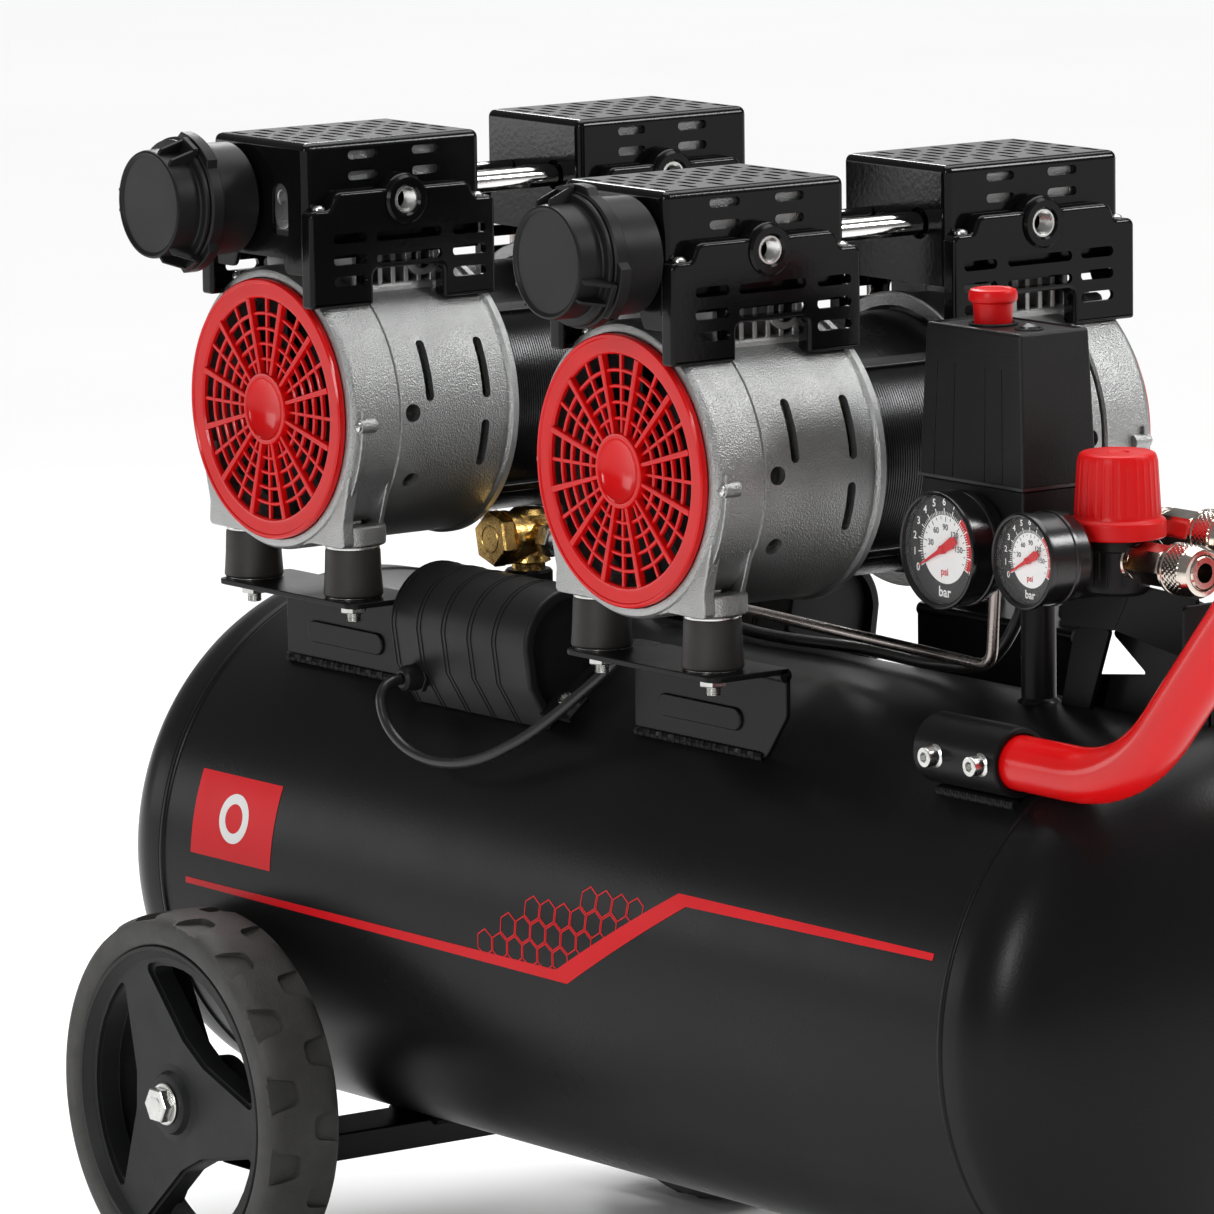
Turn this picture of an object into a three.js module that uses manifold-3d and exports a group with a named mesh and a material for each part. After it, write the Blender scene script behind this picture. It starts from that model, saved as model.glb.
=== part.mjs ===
// Twin-motor oil-free air compressor on a 50 litre wheeled tank.
// Millimetres, +Z up, +X towards the carrying handle, -Y towards the gauges. The origin lies on the floor
// under the middle of the machine. Everything is laid out from the tank: TANK_FRAME below puts the tank axis
// in place, and each motor unit is drawn about its own shaft.
import * as THREE from "three";
import { mergeVertices } from "three/addons/utils/BufferGeometryUtils.js";
import Module from "manifold-3d";

const wasm = await Module();
wasm.setup();

// ---------------------------------------------------------------- driving dimensions
const FACET = 0.1; // facets flatter than this are merged
const GAP = 0.3; // running or resting clearance between neighbouring pieces
const TANK = { r: 145, wall: 2.5, seam: 349.5, dome: 70, lap: 0.8 };
const WHEEL = { x: -263, z: -116, r: 102, rim: 85.6, inner: 150, outer: 196, end: 203, bore: 6.6 };
const FLOOR = WHEEL.z - WHEEL.r; // the floor, seen from the tank axis
const HANDLE = { y: 88, z: 136, r: 13.7, bendX: 413, topX: 520, angle: 49, round: 42 };
const SOCKET = { r: 17.5, x0: 268, x1: 331 };
const MID_X = (HANDLE.topX + HANDLE.r - TANK.seam - TANK.dome) / 2; // middle of the whole machine along X
const UNITS = [
  { name: "a", x: -231, filterX: -20 },
  { name: "b", x: 82.6, filterX: 20 },
];
const SHAFT_Z = 258; // motor shafts above the tank axis
const BARREL = { r: 74, inner: 69, ring: 75.5, flange: 76, front: 140, seam: 109.5, back: 33, bearing: 8.9 };
const BEARING_WALL = [-57, -51]; // the wall across the barrel that holds the shaft's bearing, along Y
const FOOT = { x: 46.5, y: 122, r: 16, pad: -69, rubber: 28, stud: -108 };
const CYLINDER = { y: 88, bore: 25, outer: 33, top: 104 };
const SHROUD = { half: 42.6, y0: 32.5, y1: 146.4, z0: 82, z1: 144, wall: 2.5 };
const SKIRT = { x: 52, y0: 26, y1: 149, top: 113, leg: 58.6, arch: 77, archY0: 60, archY1: 109, wall: 3 };
const FILTER = { z: 111.5, neck: 140, y0: 152, y1: 177, y2: 185, y3: 203, r: 29.6, ring: 34.5, cap: 28.5 };
const GRILLE = { r: 69.3, open: 58.9, hub: 18.7, y: 145.6, thick: 4, ribs: 12, rib: 1.4 };
const CRANK = { throw: 4, disc: 9, eye: 17.8, eyeOuter: 21.5, half: 6 };
const STATOR = { r: 67, bore: 42.5, coil: 60 };
const PORT = { x: 20, z: 113 }; // air ports in the inner and outer face of each head
const SWITCH = { x: 229.5, y: -13, z0: 257.5, z1: 334.7, w0: 82, d0: 48, w1: 74, d1: 44, base: 231 };
const REGULATOR = { x: 306, y: -6, r: 16, z0: 214, z1: 236, knob: 21, collar: 24, top: 278.5 };
const GAUGES = [
  { name: "gauge_tank", x: 233, z: 226.5, r: 29.5, y0: -62, y1: -36, needle: 20 },
  { name: "gauge_outlet", x: 302, z: 229, r: 24, y0: -64, y1: -35, needle: 15.5 },
];
const OUTLETS = [
  { name: "coupling_sleeve_front", x: 350, y: -6, z: 225.5 },
  { name: "coupling_sleeve_rear", x: 328, y: 32, z: 236 },
];
const VALVE = { x: -181, y: -10, z: 183 };
const BOX = { x0: -159, x1: -38, wall: 2.5 }; // capacitor box along X

// ---------------------------------------------------------------- looks of the plain model
const paint = (color, roughness, metalness = 0) =>
  new THREE.MeshStandardMaterial({ color, roughness, metalness });
const LOOK = {
  black: paint(0x17181a, 0.45),
  gloss: paint(0x0b0b0c, 0.15),
  red: paint(0xc9141a, 0.35),
  castMetal: paint(0xb9bbbd, 0.5, 0.9),
  steel: paint(0xc4c4c2, 0.3, 1),
  brass: paint(0xb58a45, 0.35, 1),
  nickel: paint(0xb3a08c, 0.2, 1),
  rubber: paint(0x1c1b1a, 0.85),
  laminate: paint(0x101010, 0.3, 0.6),
};

// ---------------------------------------------------------------- three.js shapes, joined by manifold-3d
function solid(geometry) {
  const bare = geometry.index ? geometry.toNonIndexed() : geometry.clone();
  for (const name of Object.keys(bare.attributes)) if (name !== "position") bare.deleteAttribute(name);
  const merged = mergeVertices(bare, 1e-4);
  const make = (triVerts) =>
    new wasm.Manifold(
      new wasm.Mesh({ numProp: 3, vertProperties: merged.attributes.position.array, triVerts }),
    );
  const made = make(new Uint32Array(merged.index.array));
  // An outline drawn the other way round gives a solid that is inside out, so its triangles are turned over.
  return made.volume() > 0 ? made : make(new Uint32Array(merged.index.array).reverse());
}
const join = (...pieces) => pieces.flat().reduce((a, b) => a.add(b));
const cut = (body, ...tools) => tools.flat().reduce((a, b) => a.subtract(b), body);
const box = (x0, x1, y0, y1, z0, z1) =>
  solid(new THREE.BoxGeometry(x1 - x0, y1 - y0, z1 - z0))
    .translate([(x0 + x1) / 2, (y0 + y1) / 2, (z0 + z1) / 2]);

// A cylinder or cone along one axis, from start to end on it; at is the place of that axis on the other two.
const AXIS_TURN = { x: [0, 0, -90], y: [0, 0, 0], z: [90, 0, 0] };
function along(axis, body, at) {
  const [u, v] = at;
  const shift = { x: [0, u, v], y: [u, 0, v], z: [u, v, 0] }[axis];
  return body.rotate(AXIS_TURN[axis]).translate(shift);
}
const rod = (axis, r0, start, end, at = [0, 0], sides = 12, r1 = r0) =>
  along(
    axis,
    solid(new THREE.CylinderGeometry(r1, r0, end - start, sides)).translate([0, (start + end) / 2, 0]),
    at,
  );
// A turned body: points are [radius, place along the axis] round an outline, which is closed back to its
// first point unless both its ends lie on the axis.
function turned(axis, points, at = [0, 0], sides = 16) {
  const onAxis = points[0][0] === 0 && points.at(-1)[0] === 0;
  const outline = (onAxis ? points : [...points, points[0]]).map(([r, y]) => new THREE.Vector2(r, y));
  return along(axis, solid(new THREE.LatheGeometry(outline, sides)), at);
}
// A flat outline [u, v] pushed along an axis: u, v are Y, Z along x; X, Z along y; X, Y along z.
function plate(axis, points, start, end, holes = []) {
  const shape = new THREE.Shape(points.map(([u, v]) => new THREE.Vector2(u, v)));
  for (const hole of holes) shape.holes.push(new THREE.Path(hole.map(([u, v]) => new THREE.Vector2(u, v))));
  const body = solid(new THREE.ExtrudeGeometry(shape, { depth: end - start, bevelEnabled: false }));
  if (axis === "z") return body.translate([0, 0, start]);
  if (axis === "y") return body.rotate([90, 0, 0]).translate([0, end, 0]);
  return body.rotate([90, 0, 90]).translate([start, 0, 0]);
}
// A round bar or cable of radius r along a smooth curve through points.
function bar(points, r, steps, sides = 8, curve = "centripetal") {
  const path = new THREE.CatmullRomCurve3(points.map((p) => new THREE.Vector3(...p)), false, curve);
  return sweep(path, r, steps, sides);
}
function sweep(path, r, steps, sides) {
  const ring = Array.from({ length: sides }, (_, i) => {
    const turn = (i / sides) * 2 * Math.PI;
    return new THREE.Vector2(r * Math.cos(turn), r * Math.sin(turn));
  });
  const shape = new THREE.Shape(ring);
  return solid(new THREE.ExtrudeGeometry(shape, { extrudePath: path, steps, bevelEnabled: false }));
}
const polar = (r, turn) => [r * Math.cos(turn), r * Math.sin(turn)];
const arc = (cx, cy, r, from, to, steps) =>
  Array.from({ length: steps + 1 }, (_, i) => {
    const [x, y] = polar(r, THREE.MathUtils.degToRad(from + ((to - from) * i) / steps));
    return [cx + x, cy + y];
  });
const hexagon = (axis, r, start, end, at) => rod(axis, r, start, end, at, 6);
const bothWays = (make) => [1, -1].map(make);
const span = (a, b) => (a < b ? [a, b] : [b, a]);

// ---------------------------------------------------------------- scene graph
const machine = new THREE.Group();
const tankFrame = new THREE.Group();
tankFrame.position.set(-MID_X, 0, -FLOOR);
machine.add(tankFrame);

function node(parent, name, body, look) {
  const mesh = body.asOriginal().simplify(FACET).getMesh();
  const geometry = new THREE.BufferGeometry()
    .setAttribute("position", new THREE.BufferAttribute(mesh.vertProperties, 3))
    .setIndex(new THREE.BufferAttribute(mesh.triVerts, 1));
  geometry.computeVertexNormals();
  const made = new THREE.Mesh(geometry, look);
  made.name = name;
  parent.add(made);
}

// ---------------------------------------------------------------- motor unit, drawn about its shaft
// Each end of a unit is drawn for the -Y side and mirrored for the +Y side.
const toEnd = (body, end) => (end === "front" ? body : body.mirror([0, 1, 0]));

function crankcase() {
  const b = BARREL;
  const [wall0, wall1] = BEARING_WALL;
  // the barrel with the wall that carries the shaft bearing, and four air windows in that wall
  const barrel = turned("y", [
    [b.inner, -b.back], [b.flange, -b.back], [b.flange, -b.back - 5], [b.r, -b.back - 5], [b.r, -b.seam],
    [b.ring, -b.seam], [b.ring, -b.front], [b.inner, -b.front], [b.inner, wall0], [b.bearing, wall0],
    [b.bearing, wall1], [b.inner, wall1],
  ], [0, 0], 20);
  const window = box(-11, 11, wall0 - 2, wall1 + 2, 30, 52);
  const windows = [45, 135, 225, 315].map((a) => window.rotate([0, a, 0]));
  const shell = cut(barrel, windows);
  const cylinder = rod("z", CYLINDER.outer, 60, CYLINDER.top, [0, -CYLINDER.y], 16);
  const head = box(-38, 38, -140, -39, CYLINDER.top - 4, 134);
  const feet = bothWays((s) =>
    join(
      rod("z", FOOT.r, FOOT.pad, FOOT.pad + 9, [s * FOOT.x, -FOOT.y], 10),
      box(s * FOOT.x - 7, s * FOOT.x + 7, -FOOT.y - 12, -FOOT.y + 12, FOOT.pad + 6, -54),
    ),
  );
  const outside = join(shell, cylinder, head, feet);
  const bore = rod("z", CYLINDER.bore, 55, CYLINDER.top + 2, [0, -CYLINDER.y], 16);
  const ports = bothWays((s) => rod("y", 9, -150, -136, [s * PORT.x, FILTER.z], 6));
  const inlet = rod("y", 7.5, -46, -30, [PORT.x, PORT.z], 6);
  const outlet = rod("x", 7, -50, -30, [-CYLINDER.y, 112], 6);
  return cut(outside, bore, ports, inlet, outlet);
}

function grille() {
  const g = GRILLE;
  const step = 360 / g.ribs;
  const half = (r) => THREE.MathUtils.radToDeg(g.rib / r);
  const windows = Array.from({ length: g.ribs }, (_, i) => [
    ...arc(0, 0, g.open, i * step + half(g.open), (i + 1) * step - half(g.open), 2),
    ...arc(0, 0, g.hub, (i + 1) * step - half(g.hub), i * step + half(g.hub), 1),
  ]);
  return plate("y", arc(0, 0, g.r, 0, 345, 23), -g.y, -g.y + g.thick, windows);
}

function shroud() {
  const s = SHROUD;
  const outer = box(-s.half, s.half, -s.y1, -s.y0, s.z0, s.z1);
  const w = s.wall;
  const hollow = box(-s.half + w, s.half - w, -s.y1 + w, -s.y0 - w, s.z0 - 1, s.z1 - w);
  const skirts = bothWays((side) => {
    const x = span(side * (s.half - 1), side * SKIRT.x);
    const outline = [
      [-SKIRT.y1, SKIRT.leg], [-SKIRT.archY1, SKIRT.leg], [-SKIRT.archY1, SKIRT.arch],
      [-SKIRT.archY0, SKIRT.arch], [-SKIRT.archY0, SKIRT.leg], [-SKIRT.y0, SKIRT.leg], [-SKIRT.y0, SKIRT.top],
      ...arc(-CYLINDER.y, 112, 12, 5, 175, 4), [-SKIRT.y1, SKIRT.top],
    ];
    const inside = span(side * (s.half - 2), side * (SKIRT.x - SKIRT.wall));
    return cut(
      plate("x", outline, x[0], x[1]),
      box(inside[0], inside[1], -SKIRT.y1 + SKIRT.wall, -SKIRT.y0 - SKIRT.wall, 0, SKIRT.top - SKIRT.wall),
      rod("x", 8, side > 0 ? s.half : -60, side > 0 ? 60 : -s.half, [-CYLINDER.y, 112], 8),
    );
  });
  const slotRows = [0, 1, 2, 3].map((i) =>
    box(-34, 34, -s.y1 + 20 + i * 24, -s.y1 + 26 + i * 24, s.z1 - w - 1, s.z1 + 1),
  );
  const portHoles = bothWays((side) =>
    box(side * PORT.x - 8, side * PORT.x + 8, -s.y1 - 5, -s.y1 + 5, 96, 123),
  );
  const tubeHoles = bothWays((side) =>
    rod("y", 8, -s.y0 - 5, -s.y0 + 5, [side * PORT.x, PORT.z], 8),
  );
  return cut(join(cut(outer, hollow), skirts), hollow, slotRows, portHoles, tubeHoles);
}

function stator() {
  const b = BARREL.back - GAP;
  return turned("y", [
    [STATOR.bore, -b - 6], [STATOR.coil, -b - 6], [STATOR.coil, -b], [STATOR.r, -b],
    [STATOR.r, b], [STATOR.coil, b], [STATOR.coil, b + 6], [STATOR.bore, b + 6],
  ], [0, 0], 20);
}

function rotor() {
  const shaft = rod("y", 8, -134, 134, [0, 0], 12);
  const core = rod("y", STATOR.bore - 1.2, -36, 36, [0, 0], 20);
  const eccentrics = bothWays((s) =>
    rod("y", CRANK.disc, ...span(-s * (CYLINDER.y - 6), -s * (CYLINDER.y + 6)), [s * CRANK.throw, 0], 12));
  const fans = bothWays((s) => {
    const blades = Array.from({ length: 6 }, (_, i) =>
      box(-9, 9, -1, 1, 14, 62)
        .rotate([0, 0, 35 * s])
        .translate([0, -127 * s, 0])
        .rotate([0, 60 * i, 0]),
    );
    return join(rod("y", 18, ...span(-134 * s, -120 * s), [0, 0], 6), blades);
  });
  return join(shaft, core, eccentrics, fans);
}

// Rocking piston: the cup, the rod and the eye round the crank pin are one piece.
function piston() {
  const y = -CYLINDER.y;
  const eye = cut(
    rod("y", CRANK.eyeOuter, y - CRANK.half, y + CRANK.half),
    rod("y", CRANK.eye, y - 10, y + 10),
  );
  const rodArm = box(-6, 6, y - 4, y + 4, CRANK.eye + 2, 82);
  const cup = rod("z", CYLINDER.bore - 0.7, 80, 90, [0, y], 16);
  return join(eye, rodArm, cup);
}

function filterBody(x) {
  const f = FILTER;
  return turned("y", [
    [3.5, -f.neck], [8, -f.neck], [8, -f.y0 + 0.5], [f.r, -f.y0 + 0.5], [f.r, -f.y1], [f.ring, -f.y1],
    [f.ring, -f.y2], [f.r - 3, -f.y2], [f.r - 3, -f.y0 - 3], [3.5, -f.y0 - 3],
  ], [x, f.z], 16);
}

function filterCap(x) {
  const f = FILTER;
  const cup = turned("y", [
    [0, -f.y3], [f.cap, -f.y3], [f.cap, -f.y2 - 3], [f.ring - 0.5, -f.y2 - 3], [f.ring - 0.5, -f.y2 - GAP],
    [f.cap - 2.5, -f.y2 - GAP], [f.cap - 2.5, -f.y3 + 3], [0, -f.y3 + 3],
  ], [x, f.z], 16);
  const lugs = [15, 135, 255].map((a) =>
    box(f.ring - 3, f.ring + 3.5, -f.y2 - 6, -f.y2 - GAP, -6, 6)
      .rotate([0, a, 0])
      .translate([x, 0, f.z]),
  );
  return join(cup, lugs);
}

function rubberMount() {
  const top = FOOT.pad - GAP;
  const bottom = FOOT.pad - FOOT.rubber;
  const rubber = rod("z", 15.5, bottom, top, [0, 0], 12, 14.5);
  const stud = rod("z", 4, FOOT.stud, bottom + 1, [0, 0], 6);
  return join(rubber, stud, hexagon("z", 7.4, bottom - 9, bottom - 3.6, [0, 0]));
}

for (const unit of UNITS) {
  const group = new THREE.Group();
  group.position.set(unit.x, 0, SHAFT_Z);
  tankFrame.add(group);
  for (const end of ["front", "rear"]) {
    node(group, `${unit.name}_crankcase_${end}`, toEnd(crankcase(), end), LOOK.castMetal);
    node(group, `${unit.name}_piston_${end}`, toEnd(piston(), end), LOOK.steel);
    node(group, `${unit.name}_grille_${end}`, toEnd(grille(), end), LOOK.red);
    node(group, `${unit.name}_shroud_${end}`, toEnd(shroud(), end), LOOK.gloss);
  }
  node(group, `${unit.name}_stator`, stator(), LOOK.laminate);
  node(group, `${unit.name}_rotor`, rotor(), LOOK.steel);
  node(group, `${unit.name}_filter_body`, filterBody(unit.filterX), LOOK.black);
  node(group, `${unit.name}_filter_cap`, filterCap(unit.filterX), LOOK.black);
  node(group, `${unit.name}_crossover_tube`, rod("y", 6, -38.5, 38.5, [PORT.x, PORT.z], 16), LOOK.steel);
  [-1, 1].forEach((sy) =>
    [-1, 1].forEach((sx) => {
      const place = new THREE.Group();
      place.position.set(sx * FOOT.x, sy * FOOT.y, 0);
      group.add(place);
      const name = `${unit.name}_mount_${sy < 0 ? "front" : "rear"}_${sx < 0 ? "left" : "right"}`;
      node(place, name, rubberMount(), LOOK.rubber);
    }),
  );
}

// ---------------------------------------------------------------- tank weldment, about the tank axis
// A straight shell with two domed ends, and everything that is welded to it.
function vessel(r, dome, lap) {
  const end = arc(0, 0, 1, 0, 75, lap ? 4 : 2).map(([c, s]) => [r * s, TANK.seam + dome * c]);
  const band = lap ? [[r + lap, TANK.seam + 1], [r + lap, TANK.seam - 9]] : [];
  const right = [...end, ...band, [r, TANK.seam - (lap ? 9.6 : 0)]];
  const left = right.map(([radius, x]) => [radius, -x]).reverse();
  return turned("x", [...right, ...left], [0, 0], 24);
}

function motorBracket(x) {
  const top = SHAFT_Z + FOOT.pad - FOOT.rubber - GAP;
  const outline = [[-140, top - 3], [-93, top - 3], [-93, 109.4], [-90, 111.8], [-90, top], [-140, top]];
  const holes = bothWays((s) => rod("z", 4.4, top - 5, top + 2, [x + s * FOOT.x, -FOOT.y], 8));
  return cut(plate("x", outline, x - 57, x + 70), holes);
}

function tankShell() {
  const brackets = UNITS.map((unit) => ["front", "rear"].map((end) => toEnd(motorBracket(unit.x), end)));
  const sockets = bothWays((s) =>
    cut(
      rod("x", SOCKET.r, SOCKET.x0, SOCKET.x1, [s * HANDLE.y, HANDLE.z]),
      rod("x", HANDLE.r + 0.9, SOCKET.x0 - 1, SOCKET.x1 + 1, [s * HANDLE.y, HANDLE.z]),
    ),
  );
  const reach = (TANK.r + 0.2) / Math.hypot(HANDLE.y, HANDLE.z);
  const beads = bothWays((s) =>
    rod("x", 2.4, SOCKET.x0 + 3, SOCKET.x1 - 3, [s * HANDLE.y * reach, HANDLE.z * reach], 6));
  const post = rod("z", 8.8, 143.5, 204.7, [237, 0], 16);
  const valveBoss = rod("z", 13, 143, 165, [VALVE.x, VALVE.y], 20);
  const drainBoss = rod("z", 12, -152, -143, [60, 0], 16);
  // wheel bracket: a channel under the tank with two upright ears that carry the stub axles
  const w = WHEEL;
  const channel = cut(
    box(w.x - 20, w.x + 20, -147, 147, -158, -143.2),
    box(w.x - 17, w.x + 17, -143, 143, -160, -146.5),
  );
  const ears = bothWays((s) => box(w.x - 20, w.x + 20, ...span(s * 143, s * 147), -158, -98));
  const stubs = bothWays((s) =>
    join(
      rod("y", w.bore - 0.6, ...span(s * 145, s * w.end), [w.x, w.z]),
      hexagon("y", 10, ...span(s * (w.outer + 0.6), s * w.end), [w.x, w.z]),
    ),
  );
  const foot = join(
    box(275, 315, -116, 116, FLOOR + 10.3, FLOOR + 14.3),
    bothWays((s) => box(275, 315, ...span(s * 70, s * 74), FLOOR + 11, -124.3)),
  );
  const upright = [[276, 206], [276, 184], [322, 143], [350, 143], [350, 206]];
  const couplingBracket = join(plate("y", upright, 14, 17), box(347, 350, 0, 30, 143, 206));
  const drain = rod("z", 5, -160, -138, [60, 0], 12);
  const inlet = rod("z", 6, 130, 170, [VALVE.x, VALVE.y], 12);
  const shell = vessel(TANK.r, TANK.dome, TANK.lap);
  const inside = vessel(TANK.r - TANK.wall, TANK.dome - TANK.wall, 0);
  const onTop = join(brackets.flat(), sockets, beads, post, valveBoss, couplingBracket);
  const below = join(drainBoss, channel, ears, stubs, foot);
  return cut(join(shell, onTop, below), inside, drain, inlet);
}

function wheelHub() {
  const w = WHEEL;
  const rim = turned("y", [
    [w.rim - 8, -w.outer + 2], [w.rim - GAP, -w.outer + 2], [w.rim - GAP, -w.inner - 3],
    [w.rim - 5, -w.inner - 3], [w.rim - 5, -w.outer + 8],
  ], [0, 0], 24);
  const boss = rod("y", 21, -w.outer + 1, -w.inner - 1);
  const edge = [[10, 22], [34, 20], [66, 13], [w.rim - 5, 15]];
  const spoke = [...edge.map(([r, half]) => [r, -half]), ...edge.reverse()];
  const spokes = [118, -4, 237].map((a) =>
    plate("y", spoke, -w.outer + 6, -w.outer + 16).rotate([0, -a, 0]),
  );
  return cut(join(rim, boss, spokes), rod("y", w.bore, -w.outer - 5, -w.inner + 5));
}

function tyre() {
  const w = WHEEL;
  return turned("y", [
    [w.rim + 1, -w.inner], [w.r - 7, -w.inner], [w.r, -w.inner - 12],
    [w.r, -w.outer + 12], [w.r - 7, -w.outer], [w.rim + 1, -w.outer],
  ], [0, 0], 28);
}

// A tube with straight runs and rounded corners through the given points.
function bent(points, round) {
  const p = points.map((q) => new THREE.Vector3(...q));
  const path = new THREE.CurvePath();
  let from = p[0];
  for (let i = 1; i < p.length - 1; i++) {
    const before = p[i].clone().add(p[i - 1].clone().sub(p[i]).setLength(round));
    const after = p[i].clone().add(p[i + 1].clone().sub(p[i]).setLength(round));
    path.add(new THREE.LineCurve3(from, before));
    path.add(new THREE.QuadraticBezierCurve3(before, p[i], after));
    from = after;
  }
  path.add(new THREE.LineCurve3(from, p[p.length - 1]));
  return path;
}

function handle() {
  const h = HANDLE;
  const topZ = h.z + (h.topX - h.bendX) * Math.tan(THREE.MathUtils.degToRad(h.angle));
  const half = [[SOCKET.x0 + 4, -h.y, h.z], [h.bendX, -h.y, h.z], [h.topX, -h.y, topZ]];
  const other = half.map(([x, y, z]) => [x, -y, z]).reverse();
  return sweep(bent([...half, ...other], h.round), h.r, 44, 8);
}

node(tankFrame, "tank_shell", tankShell(), LOOK.black);
bothWays((s) => {
  const side = s > 0 ? "front" : "rear";
  const wheel = new THREE.Group();
  wheel.position.set(WHEEL.x, 0, WHEEL.z);
  tankFrame.add(wheel);
  node(wheel, `wheel_hub_${side}`, toEnd(wheelHub(), side), LOOK.black);
  node(wheel, `wheel_tyre_${side}`, toEnd(tyre(), side), LOOK.rubber);
  const foot = rod("z", 17, FLOOR, FLOOR + 10, [295, -s * 98], 20, 15);
  node(tankFrame, `rubber_foot_${side}`, foot, LOOK.rubber);
});
node(tankFrame, "handle", handle(), LOOK.red);

// ---------------------------------------------------------------- pressure switch, regulator and outlets
const S = SWITCH;
const switchBox = (w, d, z0, z1, y = S.y) => box(S.x - w / 2, S.x + w / 2, y - d / 2, y + d / 2, z0, z1);

// The cover narrows towards its top; its sides are drawn as one turned four-sided cone.
function taperedBox(w0, d0, z0, w1, d1, z1) {
  const body = solid(new THREE.CylinderGeometry(Math.SQRT1_2, Math.SQRT1_2, 1, 4, 1).rotateY(Math.PI / 4));
  const upright = body.rotate([90, 0, 0]);
  const slope = (from, to, t) => from + (to - from) * t;
  return upright.warp((v) => {
    const t = v[2] + 0.5;
    v[0] *= slope(w0, w1, t);
    v[1] *= slope(d0, d1, t);
    v[2] = slope(z0, z1, t);
  });
}

function switchCover() {
  const outer = taperedBox(S.w0, S.d0, S.z0, S.w1, S.d1, S.z1).translate([S.x, S.y, 0]);
  const inner = switchBox(S.w1 - 6, S.d1 - 6, S.z0 - 1, S.z1 - 2.5);
  return cut(outer, inner, rod("z", 10.4, S.z1 - 5, S.z1 + 5, [S.x - 11, S.y]));
}

function switchBase() {
  const tray = cut(
    switchBox(S.w0 - 2, S.d0 - 2, S.base, S.z0 - GAP),
    switchBox(S.w0 - 8, S.d0 - 8, S.base + 5, S.z0 + 5),
  );
  const mechanism = box(S.x - 24, S.x + 24, S.y - 12, S.y + 12, S.base + 4, S.z0 + 40);
  const gland = rod("y", 10, S.y + S.d0 / 2 - 3, S.y + S.d0 / 2 + 16, [S.x - 20, 244], 12);
  return join(tray, mechanism, gland);
}

const switchKnob = () =>
  turned("z", [
    [0, 318], [6, 318], [6, 333], [9.8, 333], [9.8, 345], [12, 347], [12, 352], [0, 352],
  ], [S.x - 11, S.y]);

function gaugeCase(g) {
  const cup = turned("y", [
    [0, g.y0 + 6], [g.r - 3, g.y0 + 6], [g.r - 3, g.y0], [g.r, g.y0], [g.r, g.y0 + 5], [g.r - 1.5, g.y1 - 4],
    [g.r - 4, g.y1], [0, g.y1],
  ], [g.x, g.z], 24);
  return join(cup, rod("y", 4.2, g.y1 - 1, -22.3, [g.x, g.z], 10));
}

function needle(g) {
  // at rest the pointer lies on the zero mark, low on the left of the dial
  const pointer = box(-6, g.needle, g.y0 + 2, g.y0 + 3.5, -1.2, 1.2).rotate([0, 152, 0]);
  return join(pointer.translate([g.x, 0, g.z]), rod("y", 3, g.y0 + 2, g.y0 + 5.5, [g.x, g.z], 12));
}

function regulatorBody() {
  const r = REGULATOR;
  const block = box(222, 294, -22, 10, 205, 230.7);
  const body = rod("z", r.r, r.z0 - 6, r.z1, [r.x, r.y]);
  const bonnet = rod("z", 13, r.z1 - 1, 262, [r.x, r.y], 12);
  const gaugePort = box(294, 311, -22, -8, 215, 234);
  const elbow = rod("y", 10, 5, 42, [284, 224], 16);
  const outlets = OUTLETS.map((o) => {
    const at = [o.y, o.z];
    return cut(
      join(
        rod("x", 9.5, o.x - 46, o.x - 26, at, 10),
        hexagon("x", 10.4, o.x - 29, o.x - 4, at),
        rod("x", 7.5, o.x - 5, o.x + 1, at, 10),
        rod("x", 8.6, o.x, o.x + 22, at, 12),
      ),
      rod("x", 4.6, o.x - 2, o.x + 25, at, 8),
    );
  });
  const safety = join(hexagon("y", 8, 8, 20, [252, 218]), rod("y", 6, 19, 26, [252, 218], 12));
  const raised = box(276, 294, 18, 42, 222, 240);
  return join(block, body, bonnet, gaugePort, elbow, raised, outlets, safety);
}

function regulatorKnob() {
  const r = REGULATOR;
  return turned("z", [
    [14, r.z1 + 0.5], [r.collar, r.z1 + 0.5], [r.collar, r.z1 + 9], [r.knob, r.z1 + 11], [19.5, r.top - 2],
    [18, r.top], [0, r.top], [0, r.top - 8], [14, r.top - 8],
  ], [r.x, r.y], 20);
}

const sleeve = (o) =>
  turned("x", [
    [9, o.x + 0.5], [13, o.x + 0.5], [13, o.x + 18], [11.5, o.x + 21.5], [9, o.x + 21.5],
  ], [o.y, o.z], 20);

// The ring of the safety valve is pulled away from its body, along +Y.
function safetyPin() {
  const section = [[6.5, -1.5], [9.5, -1.5], [9.5, 1.5], [6.5, 1.5]];
  const ring = turned("x", section, [0, 0], 20).translate([252, 40, 218]);
  return join(ring, rod("y", 2.2, 26.4, 32, [252, 218], 10));
}

node(tankFrame, "switch_base", switchBase(), LOOK.black);
node(tankFrame, "switch_cover", switchCover(), LOOK.black);
node(tankFrame, "switch_knob", switchKnob(), LOOK.red);
for (const g of GAUGES) {
  node(tankFrame, `${g.name}_case`, gaugeCase(g), LOOK.black);
  node(tankFrame, `${g.name}_needle`, needle(g), LOOK.red);
}
node(tankFrame, "regulator_body", regulatorBody(), LOOK.black);
node(tankFrame, "regulator_knob", regulatorKnob(), LOOK.red);
for (const o of OUTLETS) node(tankFrame, o.name, sleeve(o), LOOK.nickel);
node(tankFrame, "safety_valve_pin", safetyPin(), LOOK.steel);

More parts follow.
